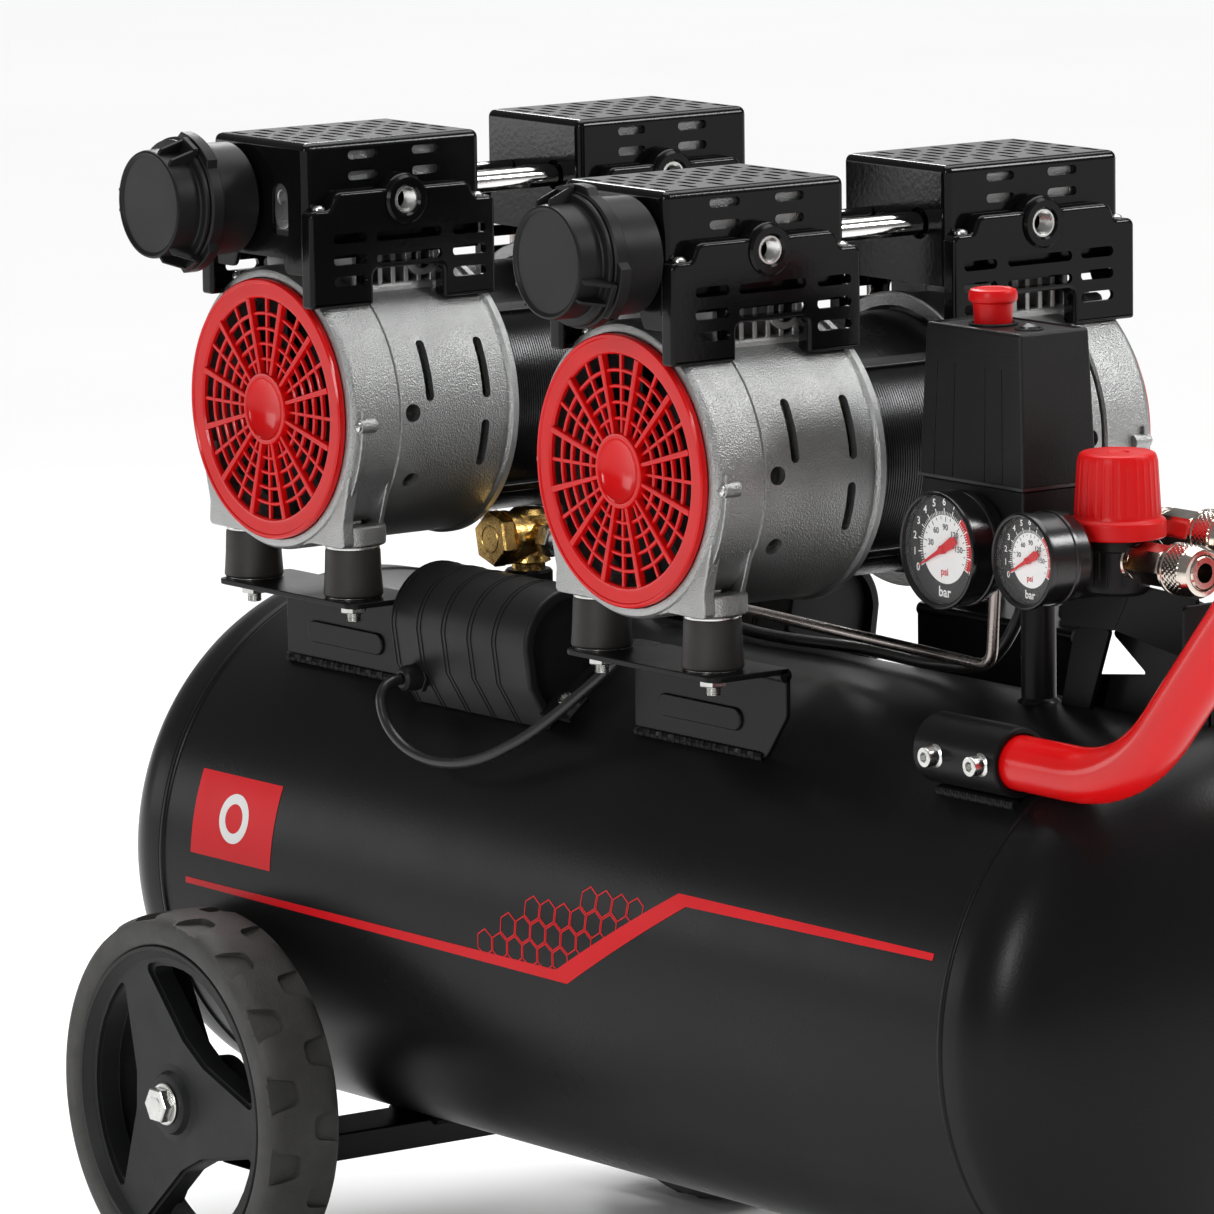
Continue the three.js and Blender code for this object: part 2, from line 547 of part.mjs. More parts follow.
// ---------------------------------------------------------------- air lines, capacitors and drain
function checkValve() {
  const { x, y, z } = VALVE;
  const tee = join(
    rod("z", 11, 165.3, z + 15, [x, y], 16),
    rod("y", 14, y - 16, y + 14, [x, z], 20),
    hexagon("y", 16.5, y - 26, y - 14, [x, z]),
    rod("x", 8, x, x + 22, [y, z], 16),
    hexagon("x", 9.5, x + 18, x + 30, [y, z]),
  );
  return tee;
}

// One pipe gathers the air of both rear heads and brings it to the back of the check valve.
function deliveryPipe() {
  const port = SHAFT_Z + 112;
  const tee = [VALVE.x, 36, 172];
  const toUnit = (x, portX) => {
    const corners = [[x, 60, 172], [x, CYLINDER.y, 190], [x, CYLINDER.y, port]];
    return sweep(bent([tee, ...corners, [portX, CYLINDER.y, port]], 12), 4.5, 22, 6);
  };
  const valveEnd = [[VALVE.x, VALVE.y + 14.4, VALVE.z], [VALVE.x, 18, VALVE.z]];
  const toValve = sweep(bent([...valveEnd, tee], 5), 4.5, 6, 6);
  const knot = rod("z", 7, 166, 178, [VALVE.x, 36], 12);
  return join(toUnit(-322, UNITS[0].x - 44), toUnit(-4, UNITS[1].x - 44), toValve, knot);
}

function reliefTube() {
  const y = VALVE.y;
  const start = [VALVE.x + 30.4, y, VALVE.z];
  const corners = [[-134, y, VALVE.z], [-110, y, 168], [212, y, 160]];
  return sweep(bent([start, ...corners, [218, y, 230.7]], 10), 3, 30, 6);
}

function capacitorBox() {
  const outline = [
    [-101, 106], [-114, 128], ...arc(-86, 148, 31, 180, 20, 8), [-53, 141], [-78, 126.5],
  ];
  const inner = [[-97, 100], [-111.3, 128], ...arc(-86, 148, 28.3, 180, 20, 8), [-55, 143], [-60, 120]];
  const shell = cut(
    plate("x", outline, BOX.x0, BOX.x1),
    plate("x", inner, BOX.x0 + BOX.wall, BOX.x1 - BOX.wall),
  );
  return join(shell, rod("y", 7, -123, -109, [-141, 122], 12));
}

// The capacitor lead leaves the gland, loops down over the tank and rises to the second motor's bracket.
const LEAD = [
  [-141, -123.6, 122], [-141, -129, 121.2], [-140.6, -133.4, 118.6], [-139.4, -136.6, 114.4],
  [-137, -138, 108.5], [-132.5, -138.2, 101.2], [-125, -137.6, 94.4], [-114, -136.6, 89], [-98, -135.4, 86],
  [-80, -133.6, 86.5], [-60, -130.4, 91], [-42, -126.4, 99], [-26, -121.4, 108.5], [-12, -115.6, 119.6],
  [0, -109, 131], [10, -102, 141.6], [19, -95.4, 152],
];
// The drain cock's wing screw under the tank.
function drainScrew() {
  const wings = box(46, 74, -1.5, 1.5, -172, -161);
  const thread = rod("z", 4.6, -163, -142, [60, 0], 12);
  const head = rod("z", 8, -164, -152.4, [60, 0], 12);
  return join(thread, head, wings);
}

node(tankFrame, "check_valve", checkValve(), LOOK.brass);
node(tankFrame, "delivery_pipe", deliveryPipe(), LOOK.steel);
node(tankFrame, "relief_tube", reliefTube(), LOOK.steel);
node(tankFrame, "capacitor_box", capacitorBox(), LOOK.black);
node(tankFrame, "capacitor_lead", bar(LEAD, 3, 36), LOOK.rubber);
node(tankFrame, "drain_screw", drainScrew(), LOOK.brass);

export default machine;
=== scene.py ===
"""Twin-motor oil-free air compressor: the looks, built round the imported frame.

Shapes are drawn in millimetres, about the tank's axis (x along the tank, z up) or about a motor shaft.
They become metres in the machine's frame when piece() makes them into an object. The front is the -Y side.
"""

import math
from functools import reduce

import bmesh
import bpy
import numpy as np
from mathutils import Matrix, Vector


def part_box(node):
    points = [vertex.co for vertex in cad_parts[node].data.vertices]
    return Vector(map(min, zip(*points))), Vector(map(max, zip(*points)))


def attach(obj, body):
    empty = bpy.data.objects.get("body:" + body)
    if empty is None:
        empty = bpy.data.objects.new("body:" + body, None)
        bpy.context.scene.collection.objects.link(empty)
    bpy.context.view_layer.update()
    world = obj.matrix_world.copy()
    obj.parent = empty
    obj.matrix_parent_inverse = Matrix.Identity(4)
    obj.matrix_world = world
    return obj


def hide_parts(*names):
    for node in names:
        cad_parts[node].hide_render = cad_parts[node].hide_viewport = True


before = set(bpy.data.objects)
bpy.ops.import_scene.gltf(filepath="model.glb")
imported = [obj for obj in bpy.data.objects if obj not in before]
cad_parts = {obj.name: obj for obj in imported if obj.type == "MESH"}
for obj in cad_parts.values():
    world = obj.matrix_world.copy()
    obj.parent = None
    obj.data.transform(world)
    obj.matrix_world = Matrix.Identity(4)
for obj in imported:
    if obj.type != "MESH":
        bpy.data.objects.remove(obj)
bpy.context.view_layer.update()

# ---------------------------------------------------------------- places and driving dimensions
MM = 0.001


def middle(node):
    """The middle of a CAD node's box, in millimetres."""
    low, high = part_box(node)
    return (low + high) / 2 / MM


def reach(node, axis):
    """Half the size of a CAD node's box along an axis, in millimetres."""
    low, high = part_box(node)
    return (high - low)["xyz".index(axis)] / 2 / MM


SHAFT_Z = 258  # motor shafts above the tank's axis
SHAFTS = {unit: middle(f"{unit}_stator") for unit in "ab"}
TANK = Vector((middle("tank_shell").x, 0, SHAFTS["a"].z - SHAFT_Z))
TANK_R = 145
SEAM_X = 349.5  # where the domes meet the straight shell
DOME = 70
WHEEL = middle("wheel_hub_front") - TANK
WHEEL_R = reach("wheel_tyre_front", "x")
RIM_R = reach("wheel_hub_front", "x")
FLOOR = -TANK.z
FOOT_X = 46.5
FOOT_Y = 122
BRACKET_TOP = 160.7
FOOT_BAR_X = 295  # the bar that carries the two rubber feet
DRAIN_X = 60
HANDLE_Y = 88
HANDLE_Z = 136
HANDLE_BEND_X = 413  # where the handle starts to rise
HANDLE_TOP_X = 520
HANDLE_RISE = 49  # degrees
HANDLE_BEND = 42
TUBE_R = 13.7
SOCKET_X = (268, 331)

# ---------------------------------------------------------------- camera, at the photograph's angle
CAMERA = Vector((3.5591, -2.7666, 1.0964))
AZIMUTH = math.radians(53.5128)
ELEVATION = math.radians(8.9035)
ROLL = math.radians(-0.7134)


def add_camera():
    """The camera that the photograph was taken with, as fitted to the tank, wheel and grilles."""
    data = bpy.data.cameras.new("camera")
    data.lens = 262.836
    data.sensor_width = 36
    data.clip_end = 200
    camera = bpy.data.objects.new("camera", data)
    forward = Vector(
        (
            -math.sin(AZIMUTH) * math.cos(ELEVATION), math.cos(AZIMUTH) * math.cos(ELEVATION),
            -math.sin(ELEVATION),
        )
    )
    right = Vector((math.cos(AZIMUTH), math.sin(AZIMUTH), 0))
    up = right.cross(forward)
    rolled_right = math.cos(ROLL) * right + math.sin(ROLL) * up
    rolled_up = math.cos(ROLL) * up - math.sin(ROLL) * right
    camera.matrix_world = Matrix.Translation(CAMERA) @ Matrix(
        (rolled_right, rolled_up, -forward)
    ).transposed().to_4x4()
    bpy.context.scene.collection.objects.link(camera)
    bpy.context.scene.camera = camera


add_camera()


# ---------------------------------------------------------------- solids
class Solid:
    """Points in millimetres, faces as tuples of point numbers, and a paint number for each face."""

    def __init__(self, points, faces, paints=None):
        self.points = np.asarray(points, float).reshape(-1, 3)
        self.faces = [tuple(int(i) for i in face) for face in faces]
        self.paints = [0] * len(self.faces) if paints is None else list(paints)

    def __add__(self, other):
        shift = len(self.points)
        faces = self.faces + [tuple(i + shift for i in face) for face in other.faces]
        return Solid(np.vstack([self.points, other.points]), faces, self.paints + other.paints)

    def painted(self, number):
        return Solid(self.points, self.faces, [number] * len(self.faces))

    def moved(self, x=0, y=0, z=0):
        return Solid(self.points + (x, y, z), self.faces, self.paints)

    def turned(self, axis, degrees):
        matrix = np.array(Matrix.Rotation(math.radians(degrees), 3, axis.upper()))
        return Solid(self.points @ matrix.T, self.faces, self.paints)

    def mirrored(self, axis="y"):
        flip = np.ones(3)
        flip["xyz".index(axis)] = -1
        return Solid(self.points * flip, [face[::-1] for face in self.faces], self.paints)

    def shaped(self, change):
        """A copy whose points went through change, which takes and gives an array of points."""
        return Solid(change(self.points.copy()), self.faces, self.paints)


def join(*solids):
    """One solid of several; each may also be a list of them."""
    flat = [s for item in solids for s in (item if isinstance(item, (list, tuple)) else [item])]
    return reduce(lambda a, b: a + b, flat)


def outward(solid):
    """The same solid with its faces turned outwards."""
    p = solid.points
    volume = sum(
        np.dot(p[f[0]], np.cross(p[f[i]], p[f[i + 1]])) for f in solid.faces for i in range(1, len(f) - 1)
    )
    return solid if volume >= 0 else Solid(p, [f[::-1] for f in solid.faces], solid.paints)


PAINTS = [bpy.data.materials.new(f"paint_{i}") for i in range(4)]  # keep paint numbers through a boolean


def mesh_of(solid):
    """A Blender mesh of a solid, with its paints as material numbers."""
    mesh = bpy.data.meshes.new("shape")
    mesh.from_pydata(solid.points.tolist(), [], solid.faces)
    for paint in PAINTS:
        mesh.materials.append(paint)
    mesh.polygons.foreach_set("material_index", solid.paints)
    return mesh


def solid_of(mesh):
    """A solid of a Blender mesh."""
    points = np.zeros(len(mesh.vertices) * 3)
    mesh.vertices.foreach_get("co", points)
    paints = [p.material_index for p in mesh.polygons]
    return Solid(points, [p.vertices for p in mesh.polygons], paints)


def bmesh_of(solid):
    """A solid as an editable bmesh."""
    bm = bmesh.new()
    mesh = mesh_of(solid)
    bm.from_mesh(mesh)
    bpy.data.meshes.remove(mesh)
    return bm


def from_bmesh(bm):
    """A solid of a bmesh, which is freed."""
    mesh = bpy.data.meshes.new("shape")
    bm.to_mesh(mesh)
    bm.free()
    made = solid_of(mesh)
    bpy.data.meshes.remove(mesh)
    return made


def evaluated(obj):
    """What an object looks like after its modifiers, as a solid. The object is removed."""
    bpy.context.scene.collection.objects.link(obj)
    graph = bpy.context.evaluated_depsgraph_get()
    mesh = bpy.data.meshes.new_from_object(
        obj.evaluated_get(graph), preserve_all_data_layers=True, depsgraph=graph,
    )
    made = solid_of(mesh)
    bpy.data.meshes.remove(mesh)
    bpy.data.objects.remove(obj)
    return made


def cut(body, *tools):
    """The body with each tool taken out of it."""
    for tool in tools:
        knife = bpy.data.objects.new("knife", mesh_of(tool))
        bpy.context.scene.collection.objects.link(knife)
        stock = bpy.data.objects.new("stock", mesh_of(body))
        boolean = stock.modifiers.new("boolean", "BOOLEAN")
        boolean.operation = "DIFFERENCE"
        boolean.solver = "EXACT"
        boolean.object = knife
        body = evaluated(stock)
        bpy.data.objects.remove(knife)
    return body


def along(axis, u, v, t):
    """A point at t along an axis, and at u, v across it."""
    return {"x": (t, u, v), "y": (u, t, v), "z": (u, v, t)}[axis]


def lathe(axis, profile, at=(0, 0), steps=64):
    """A turned body. profile is [radius, place along the axis] round an outline.
    It is closed unless both of its ends are on the axis."""
    on_axis = profile[0][0] == 0 and profile[-1][0] == 0
    turn = [(math.cos(2 * math.pi * i / steps), math.sin(2 * math.pi * i / steps)) for i in range(steps)]
    points, rows = [], []
    for radius, t in profile:
        ring = turn if radius > 0 else [(0, 0)]
        rows.append(list(range(len(points), len(points) + len(ring))))
        points += [along(axis, at[0] + radius * c, at[1] + radius * s, t) for c, s in ring]
    faces = []
    for a, b in zip(rows, rows[1:] + ([] if on_axis else rows[:1])):
        for i in range(steps):
            j = (i + 1) % steps
            if len(a) > 1 and len(b) > 1:
                faces.append((a[i], a[j], b[j], b[i]))
            elif len(b) > 1:
                faces.append((a[0], b[j], b[i]))
            elif len(a) > 1:
                faces.append((a[i], a[j], b[0]))
    return outward(Solid(points, faces))


def rod(axis, radius, start, end, at=(0, 0), steps=32, edge=0.4):
    """A cylinder with slightly rounded edges."""
    low, high = sorted((start, end))
    e = min(edge, radius / 3, (high - low) / 3)
    soft = [(radius - e, low), (radius - 0.3 * e, low + 0.3 * e), (radius, low + e)]
    return lathe(axis, [
        (0, low), *soft, *[(r, low + high - t) for r, t in reversed(soft)], (0, high),
    ], at, steps)


def pipe(axis, outer, inner, start, end, at=(0, 0), steps=48, edge=0.5):
    """A tube with slightly rounded edges."""
    low, high = sorted((start, end))
    e = min(edge, (outer - inner) / 3)
    return lathe(
        axis,
        [
            (inner, low + e), (inner + e, low), (outer - e, low), (outer, low + e), (outer, high - e),
            (outer - e, high), (inner + e, high), (inner, high - e),
        ],
        at,
        steps,
    )


def hexagon(axis, radius, start, end, at=(0, 0), turn=0):
    """A hexagon nut's shape with chamfered corners; radius is to its corners."""
    low, high = sorted((start, end))
    e = min((high - low) * 0.12, 1.2)
    body = lathe(axis, [
        (0, low), (radius * 0.93, low), (radius, low + e), (radius, high - e), (radius * 0.93, high),
        (0, high),
    ], (0, 0), 6)
    return body.turned(axis, turn).moved(*along(axis, at[0], at[1], 0))


def block(x0, x1, y0, y1, z0, z1, edge=0.0, steps=3):
    """A box, with its edges rounded if edge is given."""
    bm = bmesh.new()
    bmesh.ops.create_cube(bm, size=1)
    for v in bm.verts:
        v.co = (
            (x0 + x1) / 2 + v.co.x * abs(x1 - x0),
            (y0 + y1) / 2 + v.co.y * abs(y1 - y0),
            (z0 + z1) / 2 + v.co.z * abs(z1 - z0),
        )
    if edge:
        bmesh.ops.bevel(bm, geom=bm.edges[:], offset=edge, segments=steps, profile=0.5, affect="EDGES")
    return from_bmesh(bm)


def softened(solid, width, steps, angle):
    """The solid with its edges rounded where its faces turn by more than angle."""
    bm = bmesh_of(solid)
    bmesh.ops.remove_doubles(bm, verts=bm.verts[:], dist=1e-4)
    bmesh.ops.dissolve_limit(bm, angle_limit=0.01, verts=bm.verts[:], edges=bm.edges[:])
    sharp = [e for e in bm.edges if len(e.link_faces) == 2 and e.calc_face_angle(0) > math.radians(angle)]
    bmesh.ops.bevel(
        bm, geom=sharp, offset=width, segments=steps, profile=0.5, affect="EDGES", clamp_overlap=True,
    )
    return from_bmesh(bm)


def plate(axis, outline, start, end, holes=(), edge=0.0, steps=2):
    """A flat outline [u, v] pushed along an axis, with holes and rounded edges.
    u, v are y, z along x; x, z along y; x, y along z."""
    low, high = sorted((start, end))
    curve = bpy.data.curves.new("outline", "CURVE")
    curve.dimensions = "2D"
    curve.fill_mode = "BOTH"
    for ring in (outline, *holes):
        spline = curve.splines.new("POLY")
        spline.points.add(len(ring) - 1)
        for point, (u, v) in zip(spline.points, ring):
            point.co = (u, v, 0, 1)
        spline.use_cyclic_u = True
    curve.extrude = (high - low) / 2 - edge
    curve.bevel_depth = edge
    curve.bevel_resolution = steps
    curve.offset = -edge
    flat = evaluated(bpy.data.objects.new("outline", curve))
    bpy.data.curves.remove(curve)
    bm = bmesh_of(flat)
    bmesh.ops.remove_doubles(bm, verts=bm.verts[:], dist=1e-3)
    bmesh.ops.dissolve_limit(bm, angle_limit=0.005, verts=bm.verts[:], edges=bm.edges[:])
    made = from_bmesh(bm)
    middle_t = (low + high) / 2
    points = [along(axis, u, v, w + middle_t) for u, v, w in made.points]
    return outward(Solid(points, made.faces))


def arc(cx, cy, radius, start, end, steps):
    """Points on a circle, with both ends; angles in degrees."""
    turns = [math.radians(start + (end - start) * i / steps) for i in range(steps + 1)]
    return [(cx + radius * math.cos(t), cy + radius * math.sin(t)) for t in turns]


def circle(cx, cy, radius, steps=32):
    """A closed round outline."""
    return arc(cx, cy, radius, 0, 360 * (steps - 1) / steps, steps - 1)


def rounded(points, radius, steps=4):
    """A closed outline with its corners rounded; a corner [u, v, r] has its own radius."""
    made = []
    count = len(points)
    for i, corner in enumerate(points):
        here = Vector(corner[:2])
        before = Vector(points[i - 1][:2])
        after = Vector(points[(i + 1) % count][:2])
        size = corner[2] if len(corner) > 2 else radius
        if size <= 0:
            made.append(tuple(here))
            continue
        to_before, to_after = (before - here).normalized(), (after - here).normalized()
        half = to_before.angle(to_after) / 2
        if half > math.radians(88):
            made.append(tuple(here))
            continue
        run = min(size / math.tan(half), (before - here).length * 0.49, (after - here).length * 0.49)
        size = run * math.tan(half)
        start, end = here + to_before * run, here + to_after * run
        heart = here + (to_before + to_after).normalized() * (size / math.sin(half))
        first, last = start - heart, end - heart
        sweep = first.angle_signed(last)
        for k in range(steps + 1):
            turn = -sweep * k / steps
            c, s = math.cos(turn), math.sin(turn)
            made.append((heart.x + first.x * c - first.y * s, heart.y + first.x * s + first.y * c))
    return made


def rectangle(u0, u1, v0, v1, radius=0.0, steps=4):
    """A closed outline with four corners, rounded if radius is given."""
    corners = [(u0, v0), (u1, v0), (u1, v1), (u0, v1)]
    return rounded(corners, radius, steps) if radius else corners


def obround(u0, u1, v0, v1):
    """A slot with round ends."""
    return rectangle(u0, u1, v0, v1, min(abs(u1 - u0), abs(v1 - v0)) / 2 * 0.98, 5)


def tube(path, radius, sides=16):
    """A round bar along a path; radius may be one number or one for each point."""
    path = np.asarray(path, float)
    radii = np.full(len(path), radius) if np.isscalar(radius) else np.asarray(radius, float)
    tangents = np.gradient(path, axis=0)
    tangents /= np.linalg.norm(tangents, axis=1)[:, None]
    side = np.cross(tangents[0], (0, 0, 1) if abs(tangents[0][2]) < 0.9 else (1, 0, 0))
    points = []
    for point, tangent, r in zip(path, tangents, radii):
        side = side - tangent * np.dot(side, tangent)
        side /= np.linalg.norm(side)
        other = np.cross(tangent, side)
        for i in range(sides):
            turn = 2 * math.pi * i / sides
            points.append(point + r * (math.cos(turn) * side + math.sin(turn) * other))
    faces = []
    for k in range(len(path) - 1):
        for i in range(sides):
            j = (i + 1) % sides
            faces.append((k * sides + i, k * sides + j, (k + 1) * sides + j, (k + 1) * sides + i))
    last = (len(path) - 1) * sides
    faces += [tuple(range(sides))[::-1], tuple(range(last, last + sides))]
    return outward(Solid(points, faces))


def bent(points, bend, steps=8):
    """A path of straight runs whose corners are rounded as in the frame."""
    p = [Vector(q) for q in points]
    path = [p[0]]
    for before, corner, after in zip(p, p[1:], p[2:]):
        start = corner + (before - corner).normalized() * bend
        end = corner + (after - corner).normalized() * bend
        for k in range(steps + 1):
            t = k / steps
            path.append(start * (1 - t) ** 2 + corner * 2 * t * (1 - t) + end * t * t)
    return [tuple(q) for q in [*path, p[-1]]]


def smooth(points, steps=6):
    """A centripetal Catmull-Rom curve through the points."""
    p = [Vector(q) for q in points]
    p = [2 * p[0] - p[1], *p, 2 * p[-1] - p[-2]]
    path = []
    for a, b, c, d in zip(p, p[1:], p[2:], p[3:]):
        t0 = 0.0
        t1 = t0 + (b - a).length ** 0.5
        t2 = t1 + (c - b).length ** 0.5
        t3 = t2 + (d - c).length ** 0.5
        for k in range(steps):
            t = t1 + (t2 - t1) * k / steps
            ab = a * (t1 - t) / (t1 - t0) + b * (t - t0) / (t1 - t0)
            bc = b * (t2 - t) / (t2 - t1) + c * (t - t1) / (t2 - t1)
            cd = c * (t3 - t) / (t3 - t2) + d * (t - t2) / (t3 - t2)
            abc = ab * (t2 - t) / (t2 - t0) + bc * (t - t0) / (t2 - t0)
            bcd = bc * (t3 - t) / (t3 - t1) + cd * (t - t1) / (t3 - t1)
            path.append(tuple(abc * (t2 - t) / (t2 - t1) + bcd * (t - t1) / (t2 - t1)))
    return [*path, tuple(p[-2])]


def on_both_sides(solid, axis="y"):
    """The solid and its mirror image across an axis."""
    return solid + solid.mirrored(axis)


# ---------------------------------------------------------------- materials
def add(tree, kind, **values):
    """A new node whose inputs, or else whose own settings, have the values given."""
    node = tree.nodes.new(kind)
    for name, value in values.items():
        if name in node.inputs:
            node.inputs[name].default_value = value
        else:
            setattr(node, name, value)
    return node


NOISE_LOW, NOISE_HIGH = 0.3, 0.7  # most of a noise texture's values lie between these


def look(
    name, colour, roughness, metallic=0.0, grain=0.6, bump=0.1, mottle=0.15, uneven=0.06,
    patch=40.0, coat=0.0, stain=None, stain_share=0.35, alpha=1.0, specular=0.5,
):
    """A surface with mottled colour, uneven roughness and a fine grain.
    grain and patch are the sizes in millimetres of the bump's grains and of the colour patches. stain is a
    second colour that covers stain_share of the surface."""
    material = bpy.data.materials.new(name)
    material.use_nodes = True
    tree = material.node_tree
    shader = tree.nodes["Principled BSDF"]
    shader.inputs["Metallic"].default_value = metallic
    shader.inputs["Specular IOR Level"].default_value = specular
    shader.inputs["Coat Weight"].default_value = coat
    shader.inputs["Coat Roughness"].default_value = 0.08
    shader.inputs["Alpha"].default_value = alpha
    place = add(tree, "ShaderNodeTexCoord")
    clouds = add(tree, "ShaderNodeTexNoise", Scale=1 / (patch * MM), Detail=5.0, Roughness=0.6)
    tree.links.new(place.outputs["Object"], clouds.inputs["Vector"])
    ramp = add(tree, "ShaderNodeValToRGB")
    low, high = ramp.color_ramp.elements
    low.position, high.position = NOISE_LOW, NOISE_HIGH
    low.color = (*[c * (1 - mottle) for c in colour], 1)
    high.color = (*[min(1, c * (1 + mottle)) for c in colour], 1)
    tree.links.new(clouds.outputs["Fac"], ramp.inputs["Fac"])
    colour_out = ramp.outputs["Color"]
    if stain:
        spots = add(tree, "ShaderNodeTexNoise", Scale=2.3 / (patch * MM), Detail=6.0, Roughness=0.7)
        tree.links.new(place.outputs["Object"], spots.inputs["Vector"])
        share = add(tree, "ShaderNodeMapRange")
        share.inputs["From Min"].default_value = 0.62 - stain_share / 2
        share.inputs["From Max"].default_value = 0.78 - stain_share / 2
        tree.links.new(spots.outputs["Fac"], share.inputs["Value"])
        mix = add(tree, "ShaderNodeMix", data_type="RGBA")
        tree.links.new(share.outputs["Result"], mix.inputs["Factor"])
        tree.links.new(colour_out, mix.inputs[6])
        mix.inputs[7].default_value = (*stain, 1)
        colour_out = mix.outputs[2]
    tree.links.new(colour_out, shader.inputs["Base Color"])
    smears = add(tree, "ShaderNodeTexNoise", Scale=0.6 / (patch * MM), Detail=8.0, Roughness=0.65)
    tree.links.new(place.outputs["Object"], smears.inputs["Vector"])
    rough = add(tree, "ShaderNodeMapRange")
    rough.inputs["From Min"].default_value = NOISE_LOW
    rough.inputs["From Max"].default_value = NOISE_HIGH
    rough.inputs["To Min"].default_value = max(0.02, roughness - uneven)
    rough.inputs["To Max"].default_value = min(1.0, roughness + uneven)
    tree.links.new(smears.outputs["Fac"], rough.inputs["Value"])
    tree.links.new(rough.outputs["Result"], shader.inputs["Roughness"])
    grains = add(tree, "ShaderNodeTexNoise", Scale=1 / (grain * MM), Detail=2.0, Roughness=0.5)
    tree.links.new(place.outputs["Object"], grains.inputs["Vector"])
    relief = add(tree, "ShaderNodeBump", Strength=bump, Distance=grain * MM)
    tree.links.new(grains.outputs["Fac"], relief.inputs["Height"])
    tree.links.new(relief.outputs["Normal"], shader.inputs["Normal"])
    return material


BLACK_COAT = look(
    "black_coat", (0.006, 0.006, 0.0065), 0.3, grain=1.6, bump=0.035, uneven=0.05, patch=90, specular=0.14,
)
BLACK_GLOSS = look(
    "black_gloss", (0.004, 0.004, 0.0045), 0.14, grain=3.0, bump=0.02, uneven=0.05, patch=60, specular=0.2,
)
BLACK_SATIN = look(
    "black_satin", (0.009, 0.009, 0.0095), 0.42, grain=0.5, bump=0.12, uneven=0.05, patch=30, specular=0.2,
)
BLACK_GRAINED = look(
    "black_grained", (0.009, 0.009, 0.0095), 0.4, grain=0.7, bump=0.35, uneven=0.06, patch=30,
    specular=0.26,
)
BLACK_CASE = look("black_case", (0.006, 0.006, 0.0065), 0.22, grain=1.2, bump=0.03, uneven=0.05, patch=30)
LACQUER = look("lacquer", (0.008, 0.008, 0.009), 0.24, metallic=0.3, grain=0.8, bump=0.1, patch=20)
CAST = look(
    "cast_aluminium", (0.4, 0.405, 0.4), 0.38, metallic=0.95, grain=0.9, bump=0.6, mottle=0.1, uneven=0.07,
    patch=25,
)
MACHINED = look("machined_aluminium", (0.6, 0.61, 0.62), 0.25, metallic=1.0, grain=0.5, bump=0.08, patch=20)
RED_GLOSS = look(
    "red_gloss", (0.64, 0.004, 0.005), 0.17, grain=2.5, bump=0.02, mottle=0.06, uneven=0.05, patch=50,
    specular=0.3,
)
RED_SATIN = look(
    "red_satin", (0.66, 0.006, 0.007), 0.36, grain=0.6, bump=0.08, mottle=0.06, uneven=0.05, patch=30,
    specular=0.25,
)
RED_COAT = look(
    "red_coat", (0.64, 0.004, 0.005), 0.22, grain=1.8, bump=0.03, mottle=0.06, uneven=0.05, patch=80,
    coat=0.15, specular=0.3,
)
CHROME = look(
    "chrome", (0.78, 0.77, 0.75), 0.1, metallic=1.0, grain=1.5, bump=0.02, mottle=0.04, uneven=0.04,
    patch=30,
)
NICKEL = look(
    "nickel", (0.68, 0.6, 0.53), 0.16, metallic=1.0, grain=0.8, bump=0.03, mottle=0.08, uneven=0.06,
    patch=12,
)
ZINC = look(
    "zinc", (0.66, 0.66, 0.64), 0.27, metallic=1.0, grain=0.5, bump=0.06, mottle=0.1, uneven=0.08, patch=8,
)
STEEL_TUBE = look(
    "steel_tube", (0.36, 0.32, 0.3), 0.27, metallic=1.0, grain=0.9, bump=0.05, mottle=0.15, patch=20,
)
BRASS = look(
    "brass", (0.62, 0.4, 0.13), 0.25, metallic=1.0, grain=0.8, bump=0.14, uneven=0.08, patch=9,
    stain=(0.28, 0.15, 0.045), stain_share=0.2,
)
RUBBER = look(
    "rubber", (0.022, 0.019, 0.018), 0.5, grain=0.9, bump=0.12, uneven=0.1, patch=15, specular=0.4,
)
TYRE_RUBBER = look(
    "tyre_rubber", (0.048, 0.047, 0.045), 0.62, grain=1.0, bump=0.3, mottle=0.25, uneven=0.1, patch=18,
)
WHEEL_PLASTIC = look(
    "wheel_plastic", (0.013, 0.0135, 0.0135), 0.46, grain=0.8, bump=0.22, uneven=0.08, patch=30,
    specular=0.25,
)
LEAD_SHEATH = look("lead_sheath", (0.012, 0.011, 0.011), 0.3, grain=1.5, bump=0.06, patch=25)
RED_INK = look(
    "red_ink", (0.64, 0.005, 0.01), 0.36, grain=1.6, bump=0.03, mottle=0.05, patch=60, specular=0.15,
)
WHITE_INK = look("white_ink", (0.8, 0.8, 0.79), 0.4, grain=1.6, bump=0.03, mottle=0.03, patch=60)
DIAL_WHITE = look("dial_white", (0.95, 0.95, 0.94), 0.5, grain=0.4, bump=0.02, mottle=0.02, patch=10)
DIAL_BLACK = look("dial_black", (0.01, 0.01, 0.01), 0.5, grain=0.4, bump=0.02, patch=10)
LENS = look(
    "lens", (0.9, 0.9, 0.9), 0.04, grain=2.0, bump=0.0, mottle=0.01, uneven=0.01, alpha=0.03, specular=0.2,
)
DARK_STEEL = look("dark_steel", (0.12, 0.12, 0.12), 0.4, metallic=1.0, grain=0.7, bump=0.1, patch=10)


